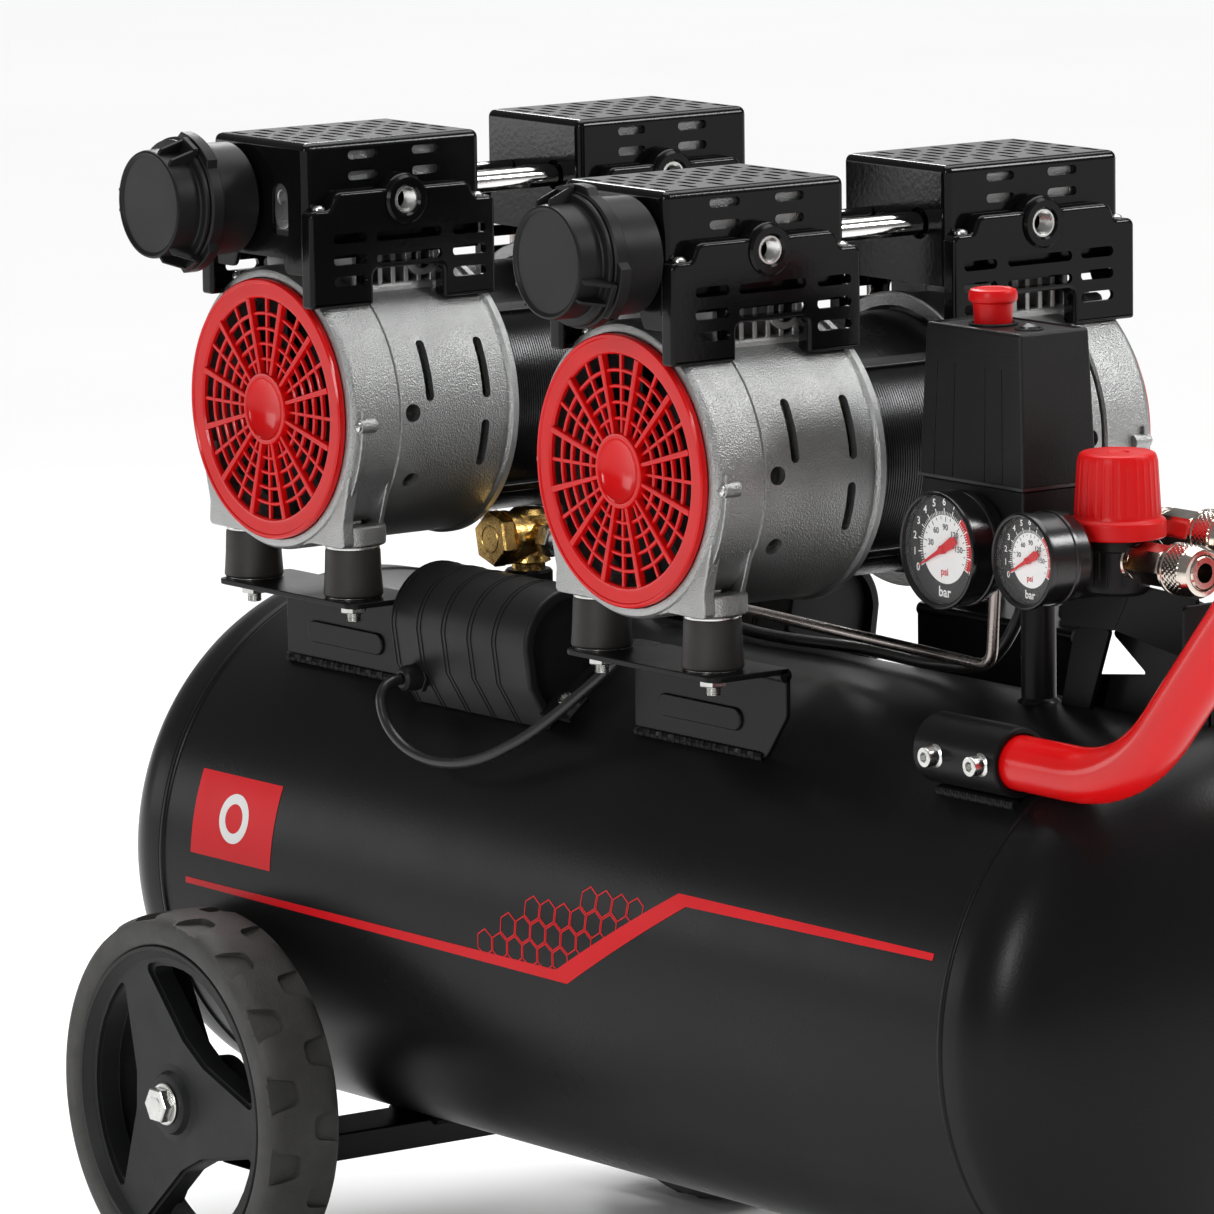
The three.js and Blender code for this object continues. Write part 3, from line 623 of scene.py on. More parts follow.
def piece(name, solid, body, *looks, slot=None, replaces=(), at=TANK, sharp=32):
    """Makes a solid drawn about the point at into an object that rides on a CAD body."""
    mesh = bpy.data.meshes.new(name)
    mesh.from_pydata(((solid.points + np.array(at)) * MM).tolist(), [], solid.faces)
    for surface in looks:
        mesh.materials.append(surface)
    mesh.polygons.foreach_set("material_index", [min(p, len(looks) - 1) for p in solid.paints])
    mesh.shade_smooth()
    mesh.set_sharp_from_angle(angle=math.radians(sharp))
    obj = bpy.data.objects.new(name, mesh)
    bpy.context.scene.collection.objects.link(obj)
    weights = obj.modifiers.new("weighted_normals", "WEIGHTED_NORMAL")
    weights.keep_sharp = True
    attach(obj, body)
    if replaces:
        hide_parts(*replaces)
    return obj


def cap_screw(radius, height, axis_turn=0):
    """A socket-head screw along -y with its head's seat at y 0 and a hexagon recess in its face."""
    head = rod("y", radius, -height, 0, steps=40, edge=0.7)
    neck = rod("y", radius * 0.6, -0.2, height * 0.5, steps=24)
    recess = hexagon("y", radius * 0.56, -height - 1, -height * 0.45, turn=axis_turn)
    return cut(head, recess) + neck


def pan_screw(radius):
    """A domed screw head with a cross recess, along -y, its seat at y 0."""
    dome = lathe("y", [
        (0, 0.6), (radius * 0.9, 0.6), (radius, 0), (radius * 0.95, -radius * 0.35),
        (radius * 0.55, -radius * 0.62), (0, -radius * 0.7),
    ], steps=32)
    arm = radius * 0.62
    cross = [
        (-0.16, -1), (0.16, -1), (0.16, -0.16), (1, -0.16), (1, 0.16), (0.16, 0.16), (0.16, 1), (-0.16, 1),
        (-0.16, 0.16), (-1, 0.16), (-1, -0.16), (-0.16, -0.16),
    ]
    return cut(dome, plate("y", [(u * arm, v * arm) for u, v in cross], -radius, -radius * 0.3))


# ---------------------------------------------------------------- tank
def tank_shell():
    """The straight shell with a dome lapped over each end, and the bead of weld at each lap."""
    dome = [(0, SEAM_X + DOME)] + [
        (
            (TANK_R + 0.8) * math.sin(t), SEAM_X + DOME * math.cos(t),
        ) for t in np.radians(np.linspace(3, 90, 30))
    ]
    lap = [(TANK_R + 0.8, SEAM_X - 9), (TANK_R + 0.3, SEAM_X - 10)]
    bead = [
        (TANK_R + 0.35 + 1.0 * math.sin(t), SEAM_X - 12 + 1.9 * math.cos(t))
        for t in np.radians(np.linspace(0, 180, 7))
    ]
    right = [*dome, *lap, *bead, (TANK_R, SEAM_X - 14.5)]
    left = [(r, -x) for r, x in reversed(right)]
    return lathe("x", [*right, *left], steps=192)


def on_shell(flat, lift):
    """Lays a flat solid on the tank: x stays, z is degrees above the -Y side, y is height over the paint."""

    def bend(points):
        turn = np.radians(points[:, 2])
        radius = TANK_R + lift + points[:, 1]
        return np.stack([points[:, 0], -radius * np.cos(turn), radius * np.sin(turn)], axis=1)

    return flat.shaped(bend)


def decal(outline, holes=(), lift=0.12):
    """A thin layer of ink [x, degrees] that follows the tank's curve, lift above its paint."""
    flat = plate("y", outline, 0, 0.1, holes)
    bm = bmesh_of(flat)
    bmesh.ops.triangulate(bm, faces=bm.faces[:])
    low, high = flat.points[:, 2].min(), flat.points[:, 2].max()
    for level in np.arange(math.floor(low) + 1, high, 1.0):
        bmesh.ops.bisect_plane(
            bm, geom=bm.verts[:] + bm.edges[:] + bm.faces[:], plane_co=(0, 0, level), plane_no=(0, 0, 1),
        )
    return outward(on_shell(from_bmesh(bm), lift))


DEGREE = math.degrees(1 / TANK_R)  # degrees round the tank for a millimetre of paint
STEP_LOW = (24, -2.2)  # foot and top of the stripe's step, [x, degrees]
STEP_HIGH = (119, 18.9)


def stripe():
    """A line along the lower side that steps up to a higher one."""
    upper = [(-315, STEP_LOW[1]), STEP_LOW, STEP_HIGH, (324, STEP_HIGH[1])]
    lower = [(-315, -3.5), (33, -4.6), (127, 16.6), (324, 17.5)]
    return decal([*upper, *reversed(lower)])


def hexagons():
    """A field of outline hexagons in the stripe's step: each row up starts further to the right."""
    size = 7.6
    wide = size * math.sqrt(3)
    turns = np.radians(range(0, 360, 60))
    made = []
    for row, first in enumerate((0, 1, 3, 6)):
        angle = -0.2 + row * size * 1.5 * DEGREE
        step_x = np.interp(angle, (STEP_LOW[1], STEP_HIGH[1]), (STEP_LOW[0], STEP_HIGH[0]))
        for column in range(first, 14):
            x = -38 + (column + row % 2 / 2) * wide
            if x + size * 0.55 < step_x:
                outer, inner = (
                    [(x + r * math.sin(t), angle + r * math.cos(t) * DEGREE) for t in turns]
                    for r in (size * 0.97, size * 0.87)
                )
                made.append(decal(outer, [inner], 0.06))
    return join(made)


def badge():
    """A plain red square with a white ring."""
    square = decal(rectangle(-309.8, -234.5, 3.4, 21.6))
    middle_x, middle_a = -272, 12.5
    turns = np.radians(np.arange(0, 360, 9))
    outer, inner = (
        [(middle_x + r * math.cos(t), middle_a + r * math.sin(t) * DEGREE) for t in turns]
        for r in (13.5, 8)
    )
    ring = decal(outer, [inner]).painted(1)
    return square + ring.shaped(lambda p: p * (1, 1.0012, 1.0012))


def motor_bracket():
    """A pressed bracket about its unit's centre: a flange, and a web with a stamped rib down to the tank."""
    near, far = -57, 70
    outline = rounded([(near, -140, 7), (far, -140, 7), (far, -91, 2), (near, -91, 2)], 6)
    flange = plate("z", outline, BRACKET_TOP - 3, BRACKET_TOP, edge=0.7)
    holes = [
        plate("z", circle(s * FOOT_X, -FOOT_Y, 4.4), BRACKET_TOP - 5, BRACKET_TOP + 2)
        for s in (-1, 1)
    ]
    flange = cut(flange, join(holes))
    outline = rounded([(near, 158, 1), (near, 112, 6), (52, 112, 10), (far, 136, 8), (far, 158, 1)], 4)
    web = plate("y", outline, -94, -91, edge=0.7)
    bend = lathe("x", [(0, near), (3.6, near), (3.6, far), (0, far)], (-94, BRACKET_TOP - 3.6), steps=24)
    rib = plate("y", obround(-36, 34, 124, 136), -95.6, -93, edge=1.2)
    bead = tube([(x, -92.5 - 1.6 * abs(math.sin(x * 0.9)), 113.5) for x in np.arange(-56, 50, 1.3)], 2.6, 8)
    return join(flange, web, bend, rib, bead)


WELD_PITCH = 2.2  # from one ripple of a weld to the next


def weld(path, radius):
    """A rippled bead of weld along a path."""
    lengths = np.concatenate([[0], np.cumsum(np.linalg.norm(np.diff(np.asarray(path), axis=0), axis=1))])
    return tube(path, radius * (0.88 + 0.16 * np.abs(np.sin(math.pi * lengths / WELD_PITCH))), 10)


def handle_socket():
    """The tube that takes the handle, on the -Y side, with its weld on the tank."""
    sleeve = pipe("x", 17.5, TUBE_R + 0.3, *SOCKET_X, (-HANDLE_Y, HANDLE_Z), 64, edge=0.8)
    facing = math.degrees(math.atan2(HANDLE_Z, HANDLE_Y))
    r = TANK_R + 1.2
    beads = []
    for turn in (facing - 5.2, facing + 5.2):
        t = math.radians(turn)
        path = [
            (x, -r * math.cos(t), r * math.sin(t))
            for x in np.arange(SOCKET_X[0] + 2, SOCKET_X[1] - 1, 0.6)
        ]
        beads.append(weld(path, 3.0))
    return join(sleeve, beads)


def handle_screws():
    """Two socket-head screws on their collars, in the front handle socket."""
    screws = []
    for x in (285.5, 320.5):
        collar = lathe("y", [
            (0, -104), (5.6, -104), (5.9, -105.2), (4.2, -106.6), (0, -106.6),
        ], (x, HANDLE_Z - 0.5), 32)
        screws += [cap_screw(5.0, 6.2, 15).moved(x, -106.4, HANDLE_Z - 0.5), collar]
    return join(screws)


def handle():
    """The carrying handle: one bent tube from socket to socket."""
    top_z = HANDLE_Z + (HANDLE_TOP_X - HANDLE_BEND_X) * math.tan(math.radians(HANDLE_RISE))
    places = ((SOCKET_X[0] + 6, HANDLE_Z), (HANDLE_BEND_X, HANDLE_Z), (HANDLE_TOP_X, top_z))
    half = [(x, -HANDLE_Y, z) for x, z in places]
    other = [(x, -y, z) for x, y, z in reversed(half)]
    return tube(bent([*half, *other], HANDLE_BEND, 14), TUBE_R, 40)


def channel():
    """The wheel bracket: a channel under the tank with an upright ear and a stub axle at each end."""
    x = WHEEL.x
    inside = plate("x", rectangle(-143.5, 143.5, -170, -146, 1), x - 17, x + 17)
    rail = cut(block(x - 20, x + 20, -147, 147, -158, -143, 1.2), inside)
    outline = rounded([(x - 20, -158, 3), (x + 20, -158, 3), (x + 20, -108, 12), (x - 20, -108, 12)], 8)
    ear = plate("y", outline, -147, -143, edge=0.6)
    axle = rod("y", 6, -145, -203, (x, WHEEL.z), edge=1.5)
    collar = pipe("y", 11, 6, -150.5, -147, (x, WHEEL.z))
    welds = [weld([(x + s * 20.5, y, -144.2) for y in np.arange(-34, 34, 0.6)], 2.4) for s in (-1, 1)]
    return rail, on_both_sides(join(ear, collar)) + join(welds), on_both_sides(axle)


def axle_nuts():
    """A nut and a washer on the end of each stub axle."""
    nut = hexagon("y", 10, -197.1, -202.6, (WHEEL.x, WHEEL.z))
    washer = pipe("y", 11.5, 6, -195.9, -197.1, (WHEEL.x, WHEEL.z))
    return on_both_sides(nut + washer)


def foot_bracket():
    """Front support: a flat bar on two legs welded under the tank."""
    near, far = FOOT_BAR_X - 20, FOOT_BAR_X + 20
    bar = plate("z", rectangle(near, far, -116, 116, 8), FLOOR + 10.3, FLOOR + 14.3, edge=0.8)
    outline = rounded([(near, FLOOR + 12, 1), (far, FLOOR + 12, 1), (far, -122, 1), (near, -122, 1)], 2)
    leg = plate("y", outline, -74, -70, edge=0.8)
    outline = rounded([(-71, FLOOR + 14), (-40, FLOOR + 14), (-71, FLOOR + 44)], 2)
    stiff = plate("x", outline, FOOT_BAR_X - 2, FOOT_BAR_X + 2, edge=0.6)
    beads = weld([(x, -75.2, -124.5) for x in np.arange(near + 1, far - 1, 0.6)], 2.6)
    return bar + on_both_sides(join(leg, stiff, beads))


def rubber_foot(side):
    """A round foot under the bar; side is -1 at the front and 1 at the rear."""
    y = side * 98
    profile = [
        (0, FLOOR), (16, FLOOR), (17, FLOOR + 1), (16.6, FLOOR + 4), (15.6, FLOOR + 4.6), (15.2, FLOOR + 9),
        (14.2, FLOOR + 10.2), (0, FLOOR + 10.2),
    ]
    return lathe("z", profile, (FOOT_BAR_X, y), 48)


def build_tank():
    piece(
        "tank_body", tank_shell(), "root", BLACK_COAT, slot="tank_paint", replaces=["tank_shell"], sharp=50,
    )
    piece("decal_stripe", stripe(), "root", RED_INK)
    piece("decal_hexagons", hexagons(), "root", RED_INK)
    piece("decal_badge", badge(), "root", RED_INK, WHITE_INK)
    bracket = motor_bracket()
    for unit in "ab":
        at = Vector((SHAFTS[unit].x, 0, TANK.z))
        for end in ("front", "rear"):
            piece(
                f"{unit}_bracket_{end}", toward(bracket, end), "root", BLACK_COAT, slot="tank_paint", at=at,
            )
    for end in ("front", "rear"):
        piece(f"handle_socket_{end}", toward(handle_socket(), end), "root", BLACK_COAT, slot="tank_paint")
        piece(f"handle_screws_{end}", toward(handle_screws(), end), "root", ZINC)
        foot = f"rubber_foot_{end}"
        piece(
            f"{end}_rubber_foot", rubber_foot(-1 if end == "front" else 1), "root", RUBBER,
            slot="foot_rubber", replaces=[foot],
        )
    piece("carrying_handle", handle(), "root", RED_COAT, slot="handle_red", replaces=["handle"], sharp=60)
    rail, ears, axles = channel()
    piece("wheel_channel", rail, "root", BLACK_COAT, slot="tank_paint")
    piece("wheel_ears", ears, "root", BLACK_COAT, slot="tank_paint")
    piece("stub_axles", axles, "root", ZINC)
    piece("axle_nuts", axle_nuts(), "root", ZINC)
    piece("foot_bracket", foot_bracket(), "root", BLACK_COAT, slot="tank_paint")


def toward(solid, end):
    """Shapes are drawn for the front (-Y) end and mirrored for the rear one."""
    return solid if end == "front" else solid.mirrored("y")


# ---------------------------------------------------------------- wheels
def polar(radius, degrees, cx=0.0, cz=0.0):
    """The point at a radius and an angle round a centre."""
    t = math.radians(degrees)
    return (cx + radius * math.cos(t), cz + radius * math.sin(t))


def wheel_hub():
    """Three wide spokes that flare into a boss, inside a thin rim ring."""
    x, z = WHEEL.x, WHEEL.z
    windows, steps = [], []
    for start, end in ((-4, 118), (118, 237), (237, 356)):
        rim_edge = arc(x, z, RIM_R - 11.5, start + 11, end - 11, 12)
        neck = [polar(38, end - 45, x, z), polar(38, start + 45, x, z)]
        outline = [
            (*rim_edge[0], 5), *[(*p, 0) for p in rim_edge[1:-1]], (*rim_edge[-1], 5),
            *[(*p, 13) for p in neck],
        ]
        windows.append(rounded(outline, 9, 7))
        heart = np.mean([p[:2] for p in outline], axis=0)
        wider = [(*(heart + (np.array(p[:2]) - heart) * 1.07), p[2]) for p in outline]
        steps.append(plate("y", rounded(wider, 9, 7), -200, -188.2))
    holes = [*windows, circle(x, z, 8, 48)]
    face = plate("y", circle(x, z, RIM_R - 4, 96), -190.5, -176, holes, edge=1.0, steps=3)
    face = cut(face, join(steps))
    rim = lathe("y", [
        (RIM_R - 0.6, -194.8), (RIM_R, -194), (RIM_R, -153), (RIM_R - 4, -153), (RIM_R - 5, -176),
        (RIM_R - 9, -178), (RIM_R - 9, -188.6), (RIM_R - 3.4, -193.6), (RIM_R - 2.6, -194.8),
    ], (x, z), 144)
    boss = lathe("y", [
        (6.6, -195.6), (14.5, -195.6), (16, -194.8), (17.5, -191.5), (23, -190), (23, -180), (21, -152),
        (6.6, -151.5),
    ], (x, z), 64)
    ribs = [
        block(20, RIM_R - 7, -178, -158, -2, 2, 0.6).turned("y", -a).moved(x, 0, z)
        for a in (118, -4, 237)
    ]
    return join(face, rim, boss, ribs)


def tyre():
    """A solid tyre with rounded shoulders and two staggered rows of shallow pockets in its tread."""
    x, z, r = WHEEL.x, WHEEL.z, WHEEL_R
    middle_y = -173
    half = [
        (RIM_R + 0.4, -193.6), (RIM_R + 1.6, -195), (RIM_R + 4, -196), (r - 6.5, -196), (r - 3.2, -194.6),
        (r - 1.0, -191.4), (r - 0.2, -187), (r, -181),
    ]
    body = lathe("y", [*half, *[(a, 2 * middle_y - b) for a, b in reversed(half)]], (x, z), 160)
    count = 16
    pockets = []
    for i in range(2 * count):
        near, far = (-199, -177) if i % 2 else (-147, -169)
        outline = rounded([(-10.5, near, 1), (10.5, near, 1), (6.2, far, 4.5), (-6.2, far, 4.5)], 3, 5)
        pockets.append(plate("z", outline, r - 3.3, r + 6).turned("y", 180 / count * i).moved(x, 0, z))
    return cut(body, join(pockets))


def build_wheels():
    for end in ("front", "rear"):
        body = f"wheel_{end}"
        hub, ring = f"wheel_hub_{end}", f"wheel_tyre_{end}"
        piece(
            f"{end}_wheel", toward(wheel_hub(), end), body, WHEEL_PLASTIC, slot="wheel_plastic",
            replaces=[hub],
        )
        piece(
            f"{end}_tyre", toward(tyre(), end), body, TYRE_RUBBER, slot="tyre_rubber", replaces=[ring],
            sharp=40,
        )


# ---------------------------------------------------------------- motor units, drawn about their shafts
BARREL_R = 74
HEAD_TOP = 144
FILTER_Z = 111.5
FILTER_X = {"a": -20, "b": 20}
CLIP_TURNS = {"a": (62, 180, 298), "b": (335, 98, 216)}  # where the filter's three clips sit, in degrees
CYLINDER_Y = -88
BORE_R = 25.3
BOSS_Z = 111.5  # the round boss on each side of a head cover
PORT_X = 20
PORT_Z = 113


def radial_slot(y, turn, width, length):
    """A cutter for a slot that runs round the barrel, at turn degrees above +X."""
    outline = obround(y - width / 2, y + width / 2, -length / 2, length / 2)
    return plate("x", outline, 55, 90).turned("y", -turn)


def bore(end):
    """A cutter for the room that a piston and its rod move in."""
    return rod("z", BORE_R, 40, end, (0, CYLINDER_Y), 64, edge=0)


def crankcase():
    """Barrel with its flange, bearing wall and slots, in one turned casting."""
    r = BARREL_R
    shell = lathe("y", [
        (69, -33), (75.2, -33), (76, -33.8), (76, -37.2), (75.2, -38.2), (r + 0.6, -38.8), (r, -40),
        (r, -108.2), (r - 0.9, -109), (69, -109), (69, -57), (9, -57), (9, -51), (69, -51),
    ], steps=144)
    slots = []
    for side in (0, 180):
        mirror = -1 if side else 1
        for y, turn, width, length in ((-89.5, 18, 5.2, 33), (-53, 17, 5.2, 33), (-54, -15, 5.2, 26)):
            slots.append(radial_slot(y, side + mirror * turn, width, length))
        for y, turn in ((-101, 1), (-97, -29)):
            slots.append(radial_slot(y, side + mirror * turn, 9.6, 9.6))
    windows = [block(-11, 11, -60, -48, 30, 52).turned("y", a) for a in (45, 135, 225, 315)]
    return cut(shell, join(slots), join(windows), bore(90))


def cover_ring():
    """The front cover: a ring round the grille, its face plate down to the feet, and the screw lugs."""
    ring = lathe("y", [
        (69.6, -110), (74.4, -110), (75.5, -111), (75.5, -136.5), (75, -138.5), (73.6, -140.6),
        (71.6, -141.4), (69.9, -141.2), (69.6, -140),
    ], steps=144)
    sole = plate("y", rounded([
        (-63, -69, 3), (-62, -56, 6), (-70, -26, 4), (70, -26, 4), (62, -56, 6), (63, -69, 3), (32, -69, 3),
        (14, -73.5, 10), (-14, -73.5, 10), (-32, -69, 3),
    ], 4), -139.4, -132, edge=1.2)
    sole = cut(sole, rod("y", 70.5, -150, -120, steps=96))
    lugs = []
    for turn in (-2, 62, 118, 182):
        lug = rod("y", 3.9, -137.4, -127, (75.6, 0), 24, 0.8) + block(70, 75, -137, -128, -3.6, 3.6, 0.8)
        screw = pan_screw(2.9).moved(75.8, -137.4, 0)
        lugs.append((lug + screw.painted(1)).turned("y", -turn))
    ridges = []
    for near, far in ((176, 222), (-42, 4)):
        band = [*arc(0, 0, 77.6, near, far, 16), *arc(0, 0, 74.5, far, near, 16)]
        ridges.append(plate("y", band, -136.4, -133.4, edge=0.7))
    feet = []
    for s in (-1, 1):
        x = s * FOOT_X
        pad = plate("z", rectangle(x - 17, x + 17, -138, -106, 13, 8), -69, -58, edge=1.6, steps=3)
        recess = plate("z", circle(x, -FOOT_Y, 7.5), -61, -50)
        bolt = cap_screw(5.2, 4.5).turned("x", -90).moved(x, -FOOT_Y, -61)
        outline = rounded([(s * 50, -60, 1), (s * 61, -60, 1), (s * 68.5, -24, 4), (s * 60, -24, 1)], 2)
        outer = plate("y", outline, -136, -133, edge=0.7)
        outline = rounded([(s * 40, -60, 1), (s * 58, -60, 1), (s * 68, -32, 4), (s * 60, -32, 1)], 2)
        inner = plate("y", outline, -113.5, -110.5, edge=0.7)
        feet += [cut(pad, recess), bolt.painted(1), outer, inner]
    return join(ring, sole, lugs, ridges, feet)


def cylinder():
    """The finned cylinder between barrel and head, seen through the arches of the shroud."""
    room = bore(99.5)
    core = pipe("z", 29, BORE_R, 62, 100, (0, CYLINDER_Y))
    fin_outline = rounded([(-39.5, 64, 3), (39.5, 64, 3), (39.5, 100, 1), (-39.5, 100, 1)], 2)
    fins = []
    for i in range(-3, 4):
        y = CYLINDER_Y + i * 8.4
        fin = plate("y", fin_outline, y - 1.5, y + 1.5, edge=0.6)
        fins.append(cut(fin, room))
    base = cut(block(-40, 40, -117.5, -50, 56, 67, 3), room)
    collar = pipe("x", 11, 7, 33, 41, (CYLINDER_Y + 18, 80))
    head = block(-38.5, 38.5, -141, -38, 100, 139.5, 2.5)
    flange = cut(block(-39.8, 39.8, -143, -36, 96, 101, 1.5), room)
    port = plate("y", obround(-7, 7, -12.5, 12.5), -145.2, -139, [circle(0, 4.5, 3.6, 24)], edge=1)
    ports = [port.moved(x, 0, 109.5) for x in (PORT_X, -PORT_X)]
    screw = cap_screw(3, 3).turned("x", -90).painted(1)
    screws = [screw.moved(x, y, 139.5) for x in (-30, 30) for y in (-128, -90, -52)]
    return join(core, fins, base, collar, head, flange, ports, screws)


def skirt_outline(inset=0.0):
    """The valance on a shroud's side, [y, z]: shoulders, a raised middle with a round boss, an arch below."""
    c, i = -89.5, inset
    return rounded([
        (c - 59.5 + i, 57.5 + i, 1.5), (c - 59.5 + i, 109.5 - i, 4), (c - 46.5 + i, 109.5 - i, 3),
        (c - 43 + i, 118.2 - i, 5),
        (-103.5, 118.2 - i, 3), *[(y, z, 0) for y, z in arc(CYLINDER_Y, BOSS_Z, 14 - i, 152, 28, 10)],
        (-72.5, 118.2 - i, 3), (c + 43 - i, 118.2 - i, 5), (c + 46.5 - i, 109.5 - i, 3),
        (c + 59.5 - i, 109.5 - i, 4), (c + 59.5 - i, 57.5 + i, 1.5), (-63.5 + i, 57.5 + i, 1.5),
        (-63.5 + i, 76 + i, 4), (-109 - i, 76 + i, 4), (-109 - i, 57.5 + i, 1.5),
    ], 3, 5)


def skirt():
    """The +X valance: a shallow tray with slots in its face and a round boss for a threaded insert."""
    tray = plate("x", skirt_outline(), 41.8, 52, edge=2.2, steps=4)
    pocket = plate("x", skirt_outline(2.6), 40, 49.4)
    rows = (
        (-134.6, -113.2, (93.6, 82.3, 71)),
        (-107.3, -65, (93.2, 81.6)),
        (-58, -36.4, (93, 81.8, 70.6)),
    )
    slots = [obround(y0, y1, z - 2.6, z + 2.6) for y0, y1, heights in rows for z in heights]
    knives = join([plate("x", s, 48, 55) for s in slots])
    hole = plate("x", circle(CYLINDER_Y, BOSS_Z, 6.6), 35, 60)
    tray = cut(tray, pocket, knives, hole)
    rim = pipe("x", 13, 7.2, 44, 54, (CYLINDER_Y, BOSS_Z), 56, edge=1.2)
    return tray + rim


def insert():
    """The threaded metal insert in the boss."""
    thread = [(5.2 if i % 2 else 5.9, 52.4 - 0.55 * i) for i in range(18)]
    return lathe("x", [(7.1, 52.6), (6.2, 52.6), *thread, (7.1, 42)], (CYLINDER_Y, BOSS_Z), 40)


def shroud(filter_x):
    """The glossy head cover: a thin box with rows of slots, and a valance on each side."""
    body = cut(
        block(-42.6, 42.6, -146.4, -32.5, 70, HEAD_TOP, 4.2, 4),
        block(-40.2, 40.2, -144, -35, 60, HEAD_TOP - 2.4, 2.5, 2),
        block(-60, 60, -160, -20, 50, 82),
    )
    top = []
    for row in range(12):
        y = -138.5 + row * 8.9
        first = -26.5 if row % 2 else -35
        top += [
            obround(x, x + 13.6, y - 1.9, y + 1.9)
            for x in np.arange(first, 24, 17.6 if row % 2 else 18.8)
        ]
    top_knives = join([plate("z", s, HEAD_TOP - 8, HEAD_TOP + 3) for s in top])
    ends = ((-118.2, -99), (-77, -58.8))
    side = [obround(y0, y1, z - 2.3, z + 2.3) for y0, y1 in ends for z in (136.2, 125.2)]
    side_knives = join([plate("x", s, *span) for s in side for span in ((36, 48), (-48, -36))])
    window = [(-7.2, 94, 1), (7.2, 94, 1), *[(u, v, 0) for u, v in arc(0, 114.5, 7.2, 0, 180, 12)]]
    window_knife = plate("y", rounded(window, 1), -150, -142).moved(-filter_x)
    back = join([plate("y", circle(x, PORT_Z, r), -36, -28) for x, r in ((PORT_X, 8.2), (-PORT_X, 5.4))])
    body = cut(body, top_knives, side_knives, window_knife, back)
    outline = rounded([(-42, 74, 1), (-24, 74, 4), (-20, 84, 3), (-20, 90, 1), (-42, 90, 1)], 2)
    lip = plate("y", outline, -146.2, -143.6, edge=0.6)
    return join(body, on_both_sides(skirt(), "x"), on_both_sides(lip, "x"))


def shroud_screws():
    """The four screws that hold a head cover's valances."""
    screw = pan_screw(3.7).turned("x", -90)
    return on_both_sides(join([screw.moved(46.6, y, 109.2) for y in (-140.5, -38.5)]), "x")


def grille():
    """Fan guard: a flat rim, a dished hub, twelve strong spokes, and a finer web behind them."""
    outer, inner, hub, front = 69.3, 58.9, 18.7, -145.6
    rim = lathe("y", [
        (outer - 0.8, front + 0.2), (outer, front + 1), (outer, -141.4), (inner, -141.4),
        (inner, front + 2.2), (inner + 0.8, front + 1.3), (inner + 2, front + 1.1),
        (outer - 2.6, front + 0.9), (outer - 2, front + 0.2),
    ], steps=144)
    dish = lathe("y", [
        (0, front + 5.4), (7, front + 5.1), (12.5, front + 3.9), (15.8, front + 1.8), (16.6, front + 0.3),
        (17.4, front), (hub, front + 0.2), (hub + 0.6, front + 1.4), (hub + 0.6, -138), (0, -138),
    ], steps=96)
    count = 12
    step = 360 / count
    spokes = []
    for i in range(count):
        outline = [(hub - 0.5, -1.1), (inner + 0.6, -1.7), (inner + 0.6, 1.7), (hub - 0.5, 1.1)]
        strong = plate("y", outline, front + 0.9, -140.4, edge=0.7).turned("y", (i + 0.5) * step)
        outline = [(hub, -0.8), (inner + 0.5, -1.0), (inner + 0.5, 1.0), (hub, 0.8)]
        thin = plate("y", outline, front + 2.6, -141, edge=0.4).turned("y", i * step)
        spokes += [strong, thin]
    rings = []
    for r in (26.5, 34.6, 42.7, 50.8):
        face = [
            (r - 0.95, front + 2.9), (r - 0.5, front + 2.4), (r + 0.5, front + 2.4),
            (r + 0.95, front + 2.9),
        ]
        rings.append(lathe("y", [*face, (r + 0.9, -141), (r - 0.9, -141)], steps=96))
    return join(rim, dish, spokes, rings)


def stator():
    """A stack of lacquered laminations with through bolts, and the copper coils' ends inside."""
    half, sheets = 32.7, 43
    pitch = 2 * half / sheets
    land = [(0.12, 66.5), (0.24, 67), (0.82, 67), (0.94, 66.5)]
    ridges = [(r, -half + (k + share) * pitch) for k in range(sheets) for share, r in land]
    stack = lathe("y", [(60, -half), *ridges, (60, half)], steps=128)
    coils = [
        lathe("y", [(44, s * 33), (59, s * 33), (57, s * 38.4), (46, s * 38.4)], steps=48).painted(1)
        for s in (-1, 1)
    ]
    keys = [block(63, 69.5, -half, half, -3, 3, 0.6).turned("y", a) for a in (45, 135, 225, 315)]
    return join(stack, coils, keys)


def fan(side):
    """A cooling fan on the shaft's end."""
    count = 8
    blades = []
    for i in range(count):
        blade = plate(
            "z", rounded([(13, -6, 1), (60, -8, 5), (61, 7, 5), (13, 6, 1)], 2), -0.9, 0.9, edge=0.4,
        )
        blades.append(blade.turned("x", 35).moved(0, -127, 0).turned("y", 360 / count * i))
    hub = lathe("y", [
        (0, -134), (12, -134), (15, -132), (16, -123), (62, -121.6), (62, -120), (0, -120),
    ], steps=72)
    return toward(join(hub, blades), side)


def rotor():
    """The shaft with its core, the two cranks and the fans' nuts."""
    shaft = rod("y", 8, -134, 134, steps=40)
    core = rod("y", 41.3, -36, 36, steps=72)
    cranks = [rod("y", 9, -s * 82, -s * 94, (s * 4, 0), 40) for s in (-1, 1)]
    nuts = [hexagon("y", 9, s * 134.2, s * 137) for s in (-1, 1)]
    return join(shaft, core, cranks, nuts)


